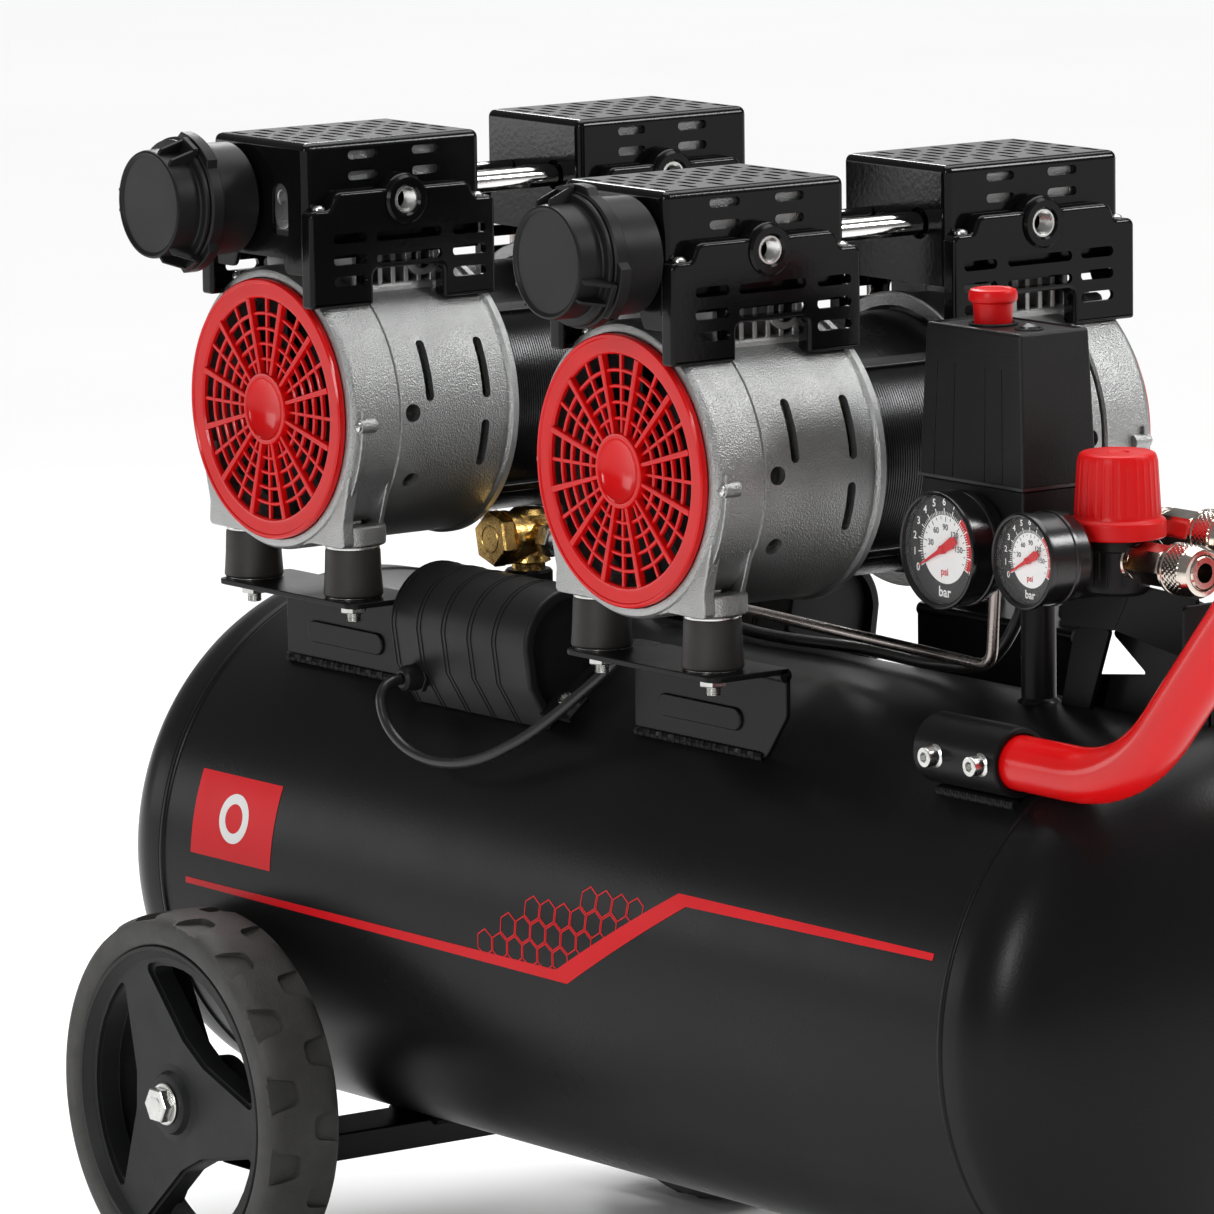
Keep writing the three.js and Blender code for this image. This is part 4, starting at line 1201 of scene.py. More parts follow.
def crossover():
    """The air tubes between the two heads, with their flared ends."""
    thick = lathe("y", [
        (0, -38.5), (7.4, -38.5), (7.6, -36.5), (6, -34.5), (6, 34.5), (7.6, 36.5), (7.4, 38.5), (0, 38.5),
    ], (PORT_X, PORT_Z), 48)
    thin = lathe("y", [
        (0, -38), (4.6, -38), (4.6, -36), (3.4, -34.5), (3.4, 34.5), (4.6, 36), (4.6, 38), (0, 38),
    ], (-PORT_X, 115), 32)
    return thick, thin


def filter_body(x):
    """The filter's barrel on its neck, with the wide clamping ring in front."""
    return lathe("y", [
        (3.5, -140), (8, -140), (8, -151.5), (28.4, -151.5), (29.6, -152.8), (30, -176), (31.2, -177),
        (33.4, -177), (34.5, -178), (34.4, -184), (33.4, -185), (27, -185), (27, -155), (3.5, -155),
    ], (x, FILTER_Z), 96)


def filter_arches(x, turns):
    """The raised arches on the clamping ring, one over each clip."""
    made = []
    for turn in turns:
        outline = [*arc(0, 0, 37.6, turn - 22, turn + 22, 14), *arc(0, 0, 33, turn + 30, turn - 30, 16)]
        made.append(plate("y", outline, -184.4, -177.6, edge=0.7).moved(x, 0, FILTER_Z))
    return join(made)


def filter_cap(x, turns):
    """The filter's cup-shaped lid with its three clips, each of two fins and a bridge."""
    cup = lathe("y", [
        (0, -201.6), (25.4, -201.6), (26, -202.4), (27.2, -203), (28.2, -202.6), (28.6, -201.4),
        (28.9, -189.4), (29.6, -188.8), (32.6, -188.4), (33.2, -187.6), (33.2, -186.2), (32.4, -185.3),
        (26, -185.3), (26, -199), (0, -199),
    ], (x, FILTER_Z), 96)
    outline = [(27, -202, 0.5), (31, -201, 1.5), (36.4, -187, 2), (36.4, -185.4, 0.5), (27, -185.4, 0.5)]
    fin = plate("z", rounded(outline, 1), -0.9, 0.9, edge=0.35)
    bridge = plate("z", rectangle(33.4, 37, -188.6, -185.4, 0.6), -6, 6, edge=0.4)
    clips = []
    for turn in turns:
        for s in (-1, 1):
            clips.append(fin.moved(0, 0, s * 5.4).turned("y", -turn).moved(x, 0, FILTER_Z))
        clips.append(bridge.turned("y", -turn).moved(x, 0, FILTER_Z))
    return join(cup, clips)


def rubber_mount():
    """A bonded rubber cylinder, waisted a little, with steel end plates."""
    rubber = lathe("z", [
        (0, -96.6), (15.2, -96.6), (15.9, -95.4), (15.5, -90), (15.1, -84), (14.9, -78), (14.7, -72.4),
        (14.2, -70.8), (0, -70.8),
    ], steps=64)
    plates = join([rod("z", 14.6, a, b, steps=64).painted(1) for a, b in ((-70.9, -69.4), (-97.2, -96.5))])
    return rubber + plates


def mount_nut():
    """The flanged nut and stud under the bracket's flange."""
    washer = lathe("z", [(0, -100.4), (8.6, -100.4), (9, -101), (7.6, -102), (0, -102)], steps=40)
    nut = hexagon("z", 7.3, -101.8, -105.8, turn=20)
    thread = [(3.9 if k % 2 else 3.4, -105.6 - 0.42 * k) for k in range(12)]
    stud = lathe("z", [(0, -104), (3.9, -104), *thread, (3.0, -110.6), (0, -110.6)], steps=32)
    return join(washer, nut, stud)


def build_unit(unit):
    at = SHAFTS[unit]
    x = FILTER_X[unit]
    cast, ring, pot, cover = crankcase(), cover_ring(), cylinder(), shroud(x)
    guard, heads, inserts = grille(), shroud_screws(), on_both_sides(insert(), "x")
    rubber, nut = rubber_mount(), mount_nut()
    for end in ("front", "rear"):
        name = f"{unit}_{end}"
        piece(
            f"{name}_barrel", toward(cast, end), "root", CAST, slot="cast_aluminium", at=at,
            replaces=[f"{unit}_crankcase_{end}"],
        )
        piece(f"{name}_cover_ring", toward(ring, end), "root", CAST, ZINC, slot="cast_aluminium", at=at)
        piece(f"{name}_cylinder", toward(pot, end), "root", CAST, ZINC, slot="cast_aluminium", at=at)
        piece(
            f"{name}_head_cover", toward(cover, end), "root", BLACK_GLOSS, slot="shroud_gloss", at=at,
            replaces=[f"{unit}_shroud_{end}"],
        )
        piece(f"{name}_cover_screws", toward(heads, end), "root", ZINC, at=at)
        piece(f"{name}_inserts", toward(inserts, end), "root", ZINC, at=at)
        piece(
            f"{name}_guard", toward(guard, end), "root", RED_GLOSS, slot="grille_red", at=at,
            replaces=[f"{unit}_grille_{end}"],
        )
        piece(f"{name}_fan", fan(end), f"{unit}_rotor", BLACK_SATIN, at=at)
        for side, s in (("left", -1), ("right", 1)):
            y = -FOOT_Y if end == "front" else FOOT_Y
            spot = at + Vector((s * FOOT_X, y, 0))
            node = f"{unit}_mount_{end}_{side}"
            piece(
                f"{name}_{side}_rubber", rubber, "root", RUBBER, ZINC, slot="mount_rubber", at=spot,
                replaces=[node],
            )
            piece(f"{name}_{side}_nut", nut, "root", ZINC, at=spot)
    piece(
        f"{unit}_laminations", stator(), "root", LACQUER, BRASS, slot="stator_laminations", at=at,
        replaces=[f"{unit}_stator"],
    )
    piece(
        f"{unit}_shaft", rotor(), f"{unit}_rotor", DARK_STEEL, slot="rotor_steel", at=at,
        replaces=[f"{unit}_rotor"],
    )
    thick, thin = crossover()
    piece(
        f"{unit}_air_tube", thick, "root", CHROME, slot="bright_tube", at=at,
        replaces=[f"{unit}_crossover_tube"],
    )
    piece(f"{unit}_thin_tube", thin, "root", CHROME, slot="bright_tube", at=at)
    piece(
        f"{unit}_filter_barrel", filter_body(x), "root", BLACK_SATIN, slot="filter_plastic", at=at,
        replaces=[f"{unit}_filter_body"],
    )
    piece(
        f"{unit}_filter_arches", filter_arches(x, CLIP_TURNS[unit]), "root", BLACK_SATIN,
        slot="filter_plastic", at=at,
    )
    piece(
        f"{unit}_filter_lid", filter_cap(x, CLIP_TURNS[unit]), f"{unit}_filter_cap", BLACK_SATIN,
        slot="filter_plastic", at=at, replaces=[f"{unit}_filter_cap"],
    )
    for end in ("front", "rear"):
        dress(f"{unit}_piston_{end}", MACHINED)


def dress(node, surface):
    """Gives a carried-over CAD node its material."""
    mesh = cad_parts[node].data
    mesh.materials.clear()
    mesh.materials.append(surface)


# ---------------------------------------------------------------- pressure switch
SWITCH_X, SWITCH_Y = 229.5, -13
SWITCH_LOW, SWITCH_TOP = 257.5, 334.7
SWITCH_LONG, SWITCH_DEEP = 82, 48
NARROWER_X, NARROWER_Y = 8, 4  # how much the cover loses towards its top
KNOB_X = -11  # from the switch's middle


def switch_cover():
    """A tapered box with upright grooves in its long faces, and a raised rim round its top."""
    height = SWITCH_TOP - SWITCH_LOW
    x, y = SWITCH_LONG / 2, SWITCH_DEEP / 2
    hole_x = KNOB_X / (1 - NARROWER_X / SWITCH_LONG)  # the taper brings it back to the knob's place
    body = cut(
        block(-x, x, -y, y, 0, height, 1.9, 4),
        block(3 - x, x - 3, 3 - y, y - 3, -5, height - 3.4),
        block(2.4 - x, x - 2.4, 2.4 - y, y - 2.4, height - 1.1, height + 5, 1.0, 2),
        rod("z", 11.6, height - 10, height + 5, (hole_x, 0)),
    )
    grooves = []
    for share in (0.15, 0.33, 0.64, 0.81):
        groove = block(-0.6, 0.6, -26, -23.3, -3, height * 0.76, 0.25, 1).moved(SWITCH_LONG * (share - 0.5))
        grooves += [groove, groove.mirrored("y")]
    vents = [plate("x", obround(v - 1.3, v + 1.3, 22, 54), 38, 45) for v in (-9, -3, 3, 9)]
    body = cut(body, join(grooves), join([v.mirrored("x") for v in vents]))
    ring = pipe("z", 13.7, 11.5, height - 1.4, height + 0.2, (hole_x, 0))
    screw_ring = pipe("z", 8, 6.2, height - 1.4, height - 0.1, (19, 0))
    screw = pan_screw(5.2).turned("x", -90).moved(19, 0, height - 1.2).painted(1)
    # The seam band round the cover's foot is given paint 1, the lighter metal look, so it shows as a light
    # line: a painted highlight for light caught on that edge.
    seam = lathe("z", [(56.2, -0.3), (57.4, -0.3), (57.4, 1.2), (56.2, 1.2)], steps=4).turned("z", 45)
    seam = seam.shaped(lambda p: p * (SWITCH_LONG / 81.2, SWITCH_DEEP / 81.2, 1))

    def taper(p):
        t = p[:, 2:3] / height
        along_x = p[:, :1] * (1 - t * NARROWER_X / SWITCH_LONG)
        along_y = p[:, 1:2] * (1 - t * NARROWER_Y / SWITCH_DEEP)
        return np.hstack([along_x, along_y, p[:, 2:3]])

    # seam.painted(1): the painted highlight on the seam band at the cover's foot.
    made = join(body, ring, screw_ring, screw, seam.painted(1)).shaped(taper)
    return made.moved(SWITCH_X, SWITCH_Y, SWITCH_LOW)


def switch_base():
    """The open tray under the cover, the works that stand in it, and the cable gland behind."""
    x, y = SWITCH_X, SWITCH_Y
    hole = (x - 20, 244)
    tray = cut(
        block(x - 40, x + 40, y - 23, y + 23, 231, 257.1, 1.6),
        block(x - 37, x + 37, y - 20, y + 20, 236, 262),
    )
    works = block(x - 24, x + 24, y - 12, y + 12, 235, 297, 1.5)
    gland = join(
        pipe("y", 10, 6.5, y + 21, y + 31, hole, edge=0.8),
        hexagon("y", 11.3, y + 23, y + 29, hole),
        lathe("y", [(4, y + 30), (9, y + 31), (8.4, y + 38.5), (6.5, y + 39.8), (4, y + 39.8)], hole, 40),
    )
    return join(tray, works.painted(1), gland)


def switch_knob():
    """The pull knob: a stem under a domed, flared cap."""
    return lathe("z", [
        (0, 318), (6, 318), (6, 331), (9.4, 332), (9.6, 334), (9.9, 342), (10.4, 344.6), (11.9, 345.6),
        (12.3, 346.8), (12.2, 349.6), (11.4, 351.2), (9.6, 351.8), (8.6, 351.3), (5, 351.7), (0, 352),
    ], (SWITCH_X + KNOB_X, SWITCH_Y), 72)


# ---------------------------------------------------------------- gauges
GAUGES = {
    "tank": {"x": 233, "z": 226.5, "r": 29.5, "front": -62, "back": -36, "needle": 20},
    "outlet": {"x": 302, "z": 229, "r": 24, "front": -64, "back": -35, "needle": 15.5},
}
ZERO_TURN = 208  # where nought lies on a dial, in degrees above +X, seen from the front
SWEEP = 236  # degrees from nought to full scale
FULL_BAR = 12
FULL_PSI = 174
RED_BAR = 8  # where the red zone starts
BAR_TURN = SWEEP / FULL_BAR
PSI_TURN = SWEEP / FULL_PSI


def gauge_case(g):
    """Bezel, drum with a seam ring, and stem."""
    r, y0, y1 = g["r"], g["front"], g["back"]
    seam = y0 + (y1 - y0) * 0.6
    drum = lathe("y", [
        (0, y0 + 6.6), (r - 2.6, y0 + 6.6), (r - 2.6, y0 + 1.6), (r - 2.1, y0 + 0.4), (r - 1.2, y0),
        (r - 0.4, y0 + 0.4), (r, y0 + 1.4), (r - 0.1, y0 + 3.4), (r - 0.9, y0 + 4.2), (r - 1, seam - 0.9),
        (r - 0.3, seam - 0.5), (r - 0.3, seam + 1.1), (r - 1, seam + 1.5), (r - 1.6, y1 - 3),
        (r - 3.4, y1 - 0.6), (r - 5, y1), (0, y1),
    ], (g["x"], g["z"]), 96)
    stem = rod("y", 4.2, y1 - 1, -22.3, (g["x"], g["z"]))
    nut = hexagon("y", 8, y1 - 0.5, y1 + 6.5, (g["x"], g["z"]))
    return join(drum, join(stem, nut).painted(1))


def bar_at(inner, outer, width, turn, lift):
    """A short straight mark on a dial."""
    outline = [(inner, -width / 2), (outer, -width / 2), (outer, width / 2), (inner, width / 2)]
    return plate("y", outline, -lift - 0.08, -lift).turned("y", -turn)


def written(text, size, radius, turn, lift):
    """A number on a dial, upright, with its middle at a place given by radius and turn."""
    curve = bpy.data.curves.new("number", "FONT")
    curve.body = text
    curve.size = size
    curve.align_x = "CENTER"
    curve.align_y = "CENTER"
    curve.offset = size * 0.02
    curve.resolution_u = 3
    letters = evaluated(bpy.data.objects.new("number", curve))
    bpy.data.curves.remove(curve)
    u, v = polar(radius, turn)
    points = [(x + u, -lift - 0.08, y + v) for x, y, _ in letters.points]
    return Solid(points, letters.faces)


def gauge_dial(g):
    """A white disc in a black ring, with marks and numbers for bar outside and psi inside, and a red zone."""
    rd = g["r"] - 2.6
    disc = rd * 0.64
    black = pipe("y", rd - 0.05, disc - 0.5, -0.3, 0.25, steps=96, edge=0.05).painted(1)
    white = rod("y", disc, -0.34, 0.25, steps=96, edge=0.05)
    made = [black, white]
    red_from, red_to = ZERO_TURN - RED_BAR * BAR_TURN, ZERO_TURN - FULL_BAR * BAR_TURN
    zone = arc(0, 0, rd * 0.66, red_to, red_from, 20) + arc(0, 0, rd * 0.8, red_from, red_to, 20)
    made.append(plate("y", zone, -0.42, -0.3).painted(2))
    for number in range(FULL_BAR + 1):
        turn = ZERO_TURN - number * BAR_TURN
        made.append(bar_at(rd * 0.65, rd * 0.77, rd * 0.022, turn, 0.44))
        made.append(written(str(number), rd * 0.2, rd * 0.88, turn, 0.4))
        for fifth in range(1, 5 if number < FULL_BAR else 1):
            made.append(bar_at(rd * 0.65, rd * 0.71, rd * 0.012, turn - fifth * BAR_TURN / 5, 0.44))
    for psi in range(0, FULL_PSI + 1, 10):
        turn = ZERO_TURN - psi * PSI_TURN
        made.append(bar_at(rd * (0.56 if psi % 30 else 0.52), rd * 0.61, rd * 0.014, turn, 0.42).painted(1))
        if psi and psi % 30 == 0:
            made.append(written(str(psi), rd * 0.16, rd * 0.41, turn, 0.4).painted(1))
    made.append(written("psi", rd * 0.2, rd * 0.42, 270, 0.4).painted(2))
    made.append(written("bar", rd * 0.27, rd * 0.8, 270, 0.4))
    return join(made).moved(g["x"], g["front"] + 6, g["z"])


def gauge_needle(g):
    """A red pointer with a broad tail, on a small hub."""
    n = g["needle"]
    outline = [
        (n, -0.25), (n * 0.2, -n * 0.055), (-n * 0.06, -n * 0.1), (-n * 0.48, -n * 0.15),
        (-n * 0.48, -n * 0.1), (-n * 0.62, -n * 0.1), (-n * 0.62, n * 0.1), (-n * 0.48, n * 0.1),
        (-n * 0.48, n * 0.15), (-n * 0.06, n * 0.1), (n * 0.2, n * 0.055), (n, 0.25),
    ]
    pointer = plate("y", outline, g["front"] + 3.3, g["front"] + 4.1, edge=0.12).turned("y", -ZERO_TURN)
    hub = rod("y", n * 0.11, g["front"] + 2.7, g["front"] + 5.6, steps=24)
    return join(pointer, hub).moved(g["x"], 0, g["z"])


def gauge_lens(g):
    """A thin clear window, domed a little."""
    y = g["front"]
    return lathe("y", [
        (0, y + 1.3), (g["r"] * 0.5, y + 1.45), (g["r"] - 2.7, y + 1.9), (g["r"] - 2.7, y + 2.3),
        (0, y + 2.3),
    ], (g["x"], g["z"]), 64)


# ---------------------------------------------------------------- regulator and outlets
REGULATOR_X, REGULATOR_Y = 306, -6
OUTLETS = {"front": (350, -6, 225.5), "rear": (328, 32, 236)}


def regulator_body():
    """The ribbed housing, and the bonnet that stands inside the knob."""
    at = (REGULATOR_X, REGULATOR_Y)
    body = lathe("z", [
        (0, 208), (13, 208), (15.4, 210), (16, 213), (16, 230), (17.4, 231), (17.4, 235.4), (16.6, 236),
        (0, 236),
    ], at, 64)
    ribs = [block(15, 16.8, -0.7, 0.7, 213, 231, 0.4).turned("z", a).moved(*at) for a in range(0, 360, 30)]
    bonnet = lathe("z", [(0, 235), (13, 235), (13, 262), (0, 262)], at, 40)
    return join(body, ribs, bonnet)


def distribution_block():
    """The block under the switch that feeds the gauges, the regulator and the rear outlet."""
    made = cut(block(222, 294, -22, 10, 205, 230.7, 1.6), rod("y", 5, -24, -14, (268, 216)))
    port = block(294, 311, -22, -8, 215, 234, 1.4)
    elbow = rod("y", 10, 5, 42, (284, 224), 40, 0.8)
    raised = block(276, 294, 18, 42, 222, 240, 1.4)
    plugs = join([hexagon("y", 7, -24.6, -21.6, (258, 218)), rod("x", 6, 219, 223, (-6, 218))]).painted(1)
    return join(made, port, elbow, raised, plugs)


def regulator_knob():
    """A tapering knob with thirty fine ribs over a plain collar, and a shallow dimple in its top."""
    count = 30
    sides = [(21.2 - (z - 247.5) * 0.06, z) for z in np.linspace(248.5, 274, 12)]
    body = lathe("z", [
        (14, 236.5), (23.4, 236.5), (24, 237.2), (24, 244), (23.4, 245.2), (21.6, 246.4), (21.2, 247.5),
        *sides, (19.4, 276.2), (18.7, 277.6), (17.4, 278.3), (14.6, 277.9), (6, 278.2), (5, 277.4),
        (0, 277.2), (0, 270.5), (14, 270.5),
    ], steps=count * 10)

    def ribbed(p):
        radius = np.hypot(p[:, 0], p[:, 1])
        turn = np.arctan2(p[:, 1], p[:, 0])
        side = (p[:, 2] > 248) & (p[:, 2] < 275) & (radius > 17)
        scale = np.where(side, 1 + 0.018 * np.maximum(0, np.cos(count * turn)) ** 1.5, 1.0)
        return p * np.stack([scale, scale, np.ones(len(p))], axis=1)

    return body.shaped(ribbed).moved(REGULATOR_X, REGULATOR_Y)


def coupling_body(x, y, z):
    """Nickel-plated tail, hexagon and nipple of a quick coupling."""
    at = (y, z)
    tail = rod("x", 9.5, x - 46, x - 26, at, 40, 0.8)
    collar = pipe("x", 10.2, 4, x - 31.5, x - 29.2, at, edge=0.7)
    nut = hexagon("x", 10.4, x - 29, x - 4, at, turn=12)
    neck = lathe("x", [
        (4.6, x - 5), (7.5, x - 5), (7.5, x - 2), (8.6, x - 0.5), (8.6, x + 21), (7.8, x + 22),
        (4.9, x + 22), (4.6, x + 21.4),
    ], at, 48)
    return join(tail, collar, nut, neck)


def sleeve(x, y, z):
    """The sliding sleeve: a diamond knurl between two plain bands."""
    rows = [(12.9, x + t) for t in np.arange(4.2, 15.4, 0.55)]
    body = lathe("x", [
        (9, x + 0.8), (9.3, x + 0.5), (12.2, x + 0.5), (12.9, x + 1.1), (12.9, x + 3), (12.4, x + 3.4),
        (12.4, x + 3.8), *rows, (12.4, x + 15.8), (12.4, x + 16.3), (13, x + 16.8), (13, x + 18),
        (11.6, x + 21.2), (11, x + 21.5), (9.3, x + 21.5), (9, x + 21.2),
    ], (0, 0), 144)

    def knurled(p):
        turn = np.arctan2(p[:, 2], p[:, 1])
        slant = (p[:, 0] - x) * 0.95
        depth = 0.42 * np.maximum(np.abs(np.sin(18 * turn + slant)), np.abs(np.sin(18 * turn - slant)))
        band = (p[:, 0] > x + 4) & (p[:, 0] < x + 15.5) & (np.hypot(p[:, 1], p[:, 2]) > 12)
        scale = np.where(band, 1 - depth * 0.07 + 0.015, 1.0)
        return p * np.stack([np.ones(len(p)), scale, scale], axis=1)

    return body.shaped(knurled).moved(0, y, z)


def safety_valve():
    """The valve's body, and the stem and ring that are pulled out of it."""
    at = (252, 218)
    x, z = at
    body = join(
        hexagon("y", 8, 10, 18, at),
        lathe("y", [(0, 18), (6, 18), (6.2, 19), (5.2, 20), (6, 21), (6, 25), (5, 26), (0, 26)], at, 40),
    )
    ring_path = [(x, 40 + 8 * math.cos(t), z + 8 * math.sin(t)) for t in np.linspace(0, 2 * math.pi, 41)]
    stem = rod("y", 2.2, 26.4, 32.4, at, 24)
    return body, join(stem, tube(ring_path, 1.35, 12))


def post_and_plates():
    """What carries the switch and the outlets: a welded post, an upright plate and a folded one."""
    post = lathe("z", [
        (0, 142), (11.4, 143.2), (10.4, 145.5), (8.8, 147), (8.8, 204.7), (0, 204.7),
    ], (237, 0), 48)
    slope = [(290, 206, 3), (278, 182, 2), (304, 165, 1), (262, 160, 1), (262, 143, 1)]
    upright = plate("y", rounded([*slope, (350, 143, 1), (350, 206, 8)], 3), 14, 17, edge=0.7)
    wing = plate(
        "x", rounded([(0, 143, 1), (30, 143, 1), (30, 206, 6), (0, 206, 3)], 3), 347, 350, edge=0.7,
    )
    shield = plate(
        "y", rounded([(250, 143, 1), (272, 143, 1), (289, 187, 2), (262, 187, 12)], 2), 3, 5.6, edge=0.6,
    )
    near = [(256, -2, 186), (298, -2, 188), (313, -2, 213), (264, -2, 216)]
    far = [(298, -2, 188), (342, 10, 177), (346.6, 10, 208), (313, -2, 213)]
    sheets = [sheet(corners, 2.4) for corners in (near, far)]
    return join(post, upright, wing, shield, sheets)


def sheet(corners, depth):
    """A flat four-cornered sheet of metal, from its front face's corners."""
    count = len(corners)
    back = [(x, y + depth, z) for x, y, z in corners]
    faces = [tuple(range(count)), tuple(range(2 * count - 1, count - 1, -1))]
    faces += [(i, i + count, (i + 1) % count + count, (i + 1) % count) for i in range(count)]
    return softened(outward(Solid([*corners, *back], faces)), 0.5, 2, 30)


def build_controls():
    piece(
        "switch_housing", switch_cover(), "root", BLACK_GRAINED, DARK_STEEL, slot="switch_plastic",
        replaces=["switch_cover"],
    )
    piece(
        "switch_tray", switch_base(), "root", BLACK_GRAINED, DARK_STEEL, slot="switch_plastic",
        replaces=["switch_base"],
    )
    piece(
        "switch_pull", switch_knob(), "switch_knob", RED_SATIN, slot="control_red",
        replaces=["switch_knob"],
    )
    for name, g in GAUGES.items():
        node = f"gauge_{name}"
        piece(
            f"{node}_drum", gauge_case(g), "root", BLACK_CASE, BRASS, slot="gauge_black",
            replaces=[f"{node}_case"],
        )
        piece(f"{node}_dial", gauge_dial(g), "root", DIAL_WHITE, DIAL_BLACK, RED_INK)
        piece(f"{node}_lens", gauge_lens(g), "root", LENS)
        piece(
            f"{node}_pointer", gauge_needle(g), f"{node}_needle", RED_INK, slot="control_red",
            replaces=[f"{node}_needle"],
        )
    piece(
        "regulator_housing", regulator_body(), "root", BLACK_SATIN, slot="fitting_black",
        replaces=["regulator_body"],
    )
    piece("distribution_block", distribution_block(), "root", BLACK_SATIN, BRASS, slot="fitting_black")
    piece(
        "regulator_cap", regulator_knob(), "regulator_knob", RED_SATIN, slot="control_red",
        replaces=["regulator_knob"],
    )
    for end, place in OUTLETS.items():
        node = f"coupling_sleeve_{end}"
        piece(f"coupling_{end}", coupling_body(*place), "root", NICKEL, slot="nickel")
        piece(f"{end}_sleeve", sleeve(*place), node, NICKEL, slot="nickel", replaces=[node])
    valve, pin = safety_valve()
    piece("safety_valve", valve, "root", BRASS, slot="brass")
    piece("safety_ring", pin, "safety_valve_pin", ZINC, slot="nickel", replaces=["safety_valve_pin"])
    piece("post_and_plates", post_and_plates(), "root", BLACK_COAT, slot="tank_paint")


# ---------------------------------------------------------------- air lines, capacitors and drain
VALVE = (-181, -10, 183)


def check_valve():
    """A brass tee: a chamfered cap facing the front, a side outlet, and a stem in a black collar."""
    x, y, z = VALVE
    stem = lathe("z", [
        (0, 164), (9, 164), (9, 168), (12, 169.5), (11.4, 172), (10.4, 174), (11, z + 12), (8, z + 14.6),
        (0, z + 15),
    ], (x, y), 56)
    barrel = lathe("y", [
        (0, y - 15), (14, y - 15), (14, y - 10), (13, y - 8), (13, y + 10), (11.4, y + 13), (8, y + 14),
        (0, y + 14),
    ], (x, z), 56)
    collar = lathe("y", [(0, y - 17), (14.6, y - 17), (14.6, y - 14.4), (0, y - 14.4)], (x, z), 56)
    cap = hexagon("y", 15, y - 25.4, y - 16.6, (x, z), turn=18)
    face = pipe("y", 7.6, 6.6, y - 25.8, y - 25.2, (x, z))
    side = rod("x", 8, x, x + 20, (y, z), 40, 0.5)
    nut = hexagon("x", 9.5, x + 18, x + 27, (y, z), turn=10)
    ferrule = lathe("x", [(0, x + 27), (6.4, x + 27), (4.6, x + 30), (0, x + 30)], (y, z), 32)
    return join(stem, barrel, collar, cap, face, side, nut.painted(1), ferrule.painted(1))


def bosses():
    """Ports welded on the tank: the black collar under the check valve, and the drain's under the tank."""
    x, y, _ = VALVE
    collar = lathe("z", [
        (0, 141), (14.4, 142.8), (13.4, 145), (13, 147), (13, 163.6), (11.8, 165), (0, 165),
    ], (x, y), 64)
    hollow = [(5, -152), (5, -145.6), (0, -145.6)]
    drain = lathe("z", [
        (0, -140), (13, -143.5), (12, -146), (12, -151), (11, -152), *hollow,
    ], (DRAIN_X, 0), 48)
    return collar + drain


def delivery_pipe():
    """One pipe gathers the air of both rear heads and brings it to the back of the check valve."""
    port = SHAFT_Z + 112
    pipe_r, nut_r = 4.5, 8.4
    y = -CYLINDER_Y
    valve_x, _, valve_z = VALVE
    x0, y0, z0 = valve_x, 36, 172
    tee = (x0, y0, z0)
    made = []
    for x, unit in ((-322, "a"), (-4, "b")):
        port_x = SHAFTS[unit].x - TANK.x - 44
        corners = [tee, (x, 60, z0), (x, y, 190), (x, y, port), (port_x, y, port)]
        made.append(tube(bent(corners, 12, 10), pipe_r, 20))
        made.append(hexagon("x", nut_r, port_x - 9, port_x - 1, (y, port)).painted(1))
    made.append(tube(bent([(valve_x, 4.4, valve_z), (valve_x, 18, valve_z), tee], 5, 8), pipe_r, 20))
    made.append(rod("z", 7, z0 - 6, z0 + 6, (x0, y0), 32, 1.2))
    made.append(hexagon("y", nut_r, 5, 13, (valve_x, valve_z)).painted(1))
    return join(made)


def relief_tube():
    """The thin tube from the check valve along the tank to the switch, with its two nuts."""
    _, y, z = VALVE
    corners = [(-150.6, y, z), (-134, y, z), (-110, y, 168), (212, y, 160), (218, y, 230.7)]
    nuts = join(hexagon("z", 6.6, 221, 229.6, (217.8, y)), hexagon("x", 6.6, -150, -142, (y, z)))
    return tube(bent(corners, 10, 12), 3, 20) + nuts.painted(1)


def thin_hose():
    """A thin black hose that lies on the tank behind the relief tube."""
    points = [
        (-120, 6, 160), (-60, 10, 153), (10, 4, 150.5), (80, 12, 150.8), (150, 6, 152), (196, 2, 160),
        (214, 6, 184), (222, 4, 206),
    ]
    return tube(smooth(points, 10), 3.2, 16)


GLAND = (-141, 122)  # x, z of the lead's way out of the front box


def box_outline(inset=0.0):
    """The box's end, [y, z]: an arched top over a base that slopes like the tank."""
    i = inset
    return [
        (-101 + i * 0.6, 106 + i), (-114 + i, 128), *arc(-86, 148, 31 - i, 178, 22, 22),
        (-53 - i, 141 + i * 0.3), (-78, 126.5 + i),
    ]


def ribbed_box():
    """A moulded box with an arched top, double ribs round it, and a rim round a dark recessed end."""
    shell = plate("x", box_outline(), -159, -38, edge=2.2, steps=4)
    recess = plate("x", box_outline(5), -44, -30)
    made = [cut(shell, recess)]
    for x in (-155.5, -133, -111, -88, -66):
        for shift in (-1.6, 1.6):
            start, end = x + shift - 0.45, x + shift + 0.45
            made.append(plate("x", box_outline(-0.45), start, end, [box_outline(1.5)], edge=0.2))
    return join(made)


def box_gland():
    """The gland under the front box, where its lead comes out."""
    nose = [(3.2, -109), (7, -109), (7, -118), (6.2, -121.5), (4.6, -123), (3.2, -123)]
    return hexagon("y", 8.6, -113, -109.5, GLAND) + lathe("y", nose, GLAND, 48)


def box_tab():
    """The tab that holds the box to the tank, and its screw."""
    tab = plate(
        "x", [(-3, -1.2), (13, -1.2), (13, 1.2), (-3, 1.2)], 0, 26, edge=0.5,
    ).turned("x", 40).moved(-40, -104, 116)
    screw = cap_screw(4, 4).turned("x", -50).moved(-24, -100, 122)
    return tab + screw.painted(1)


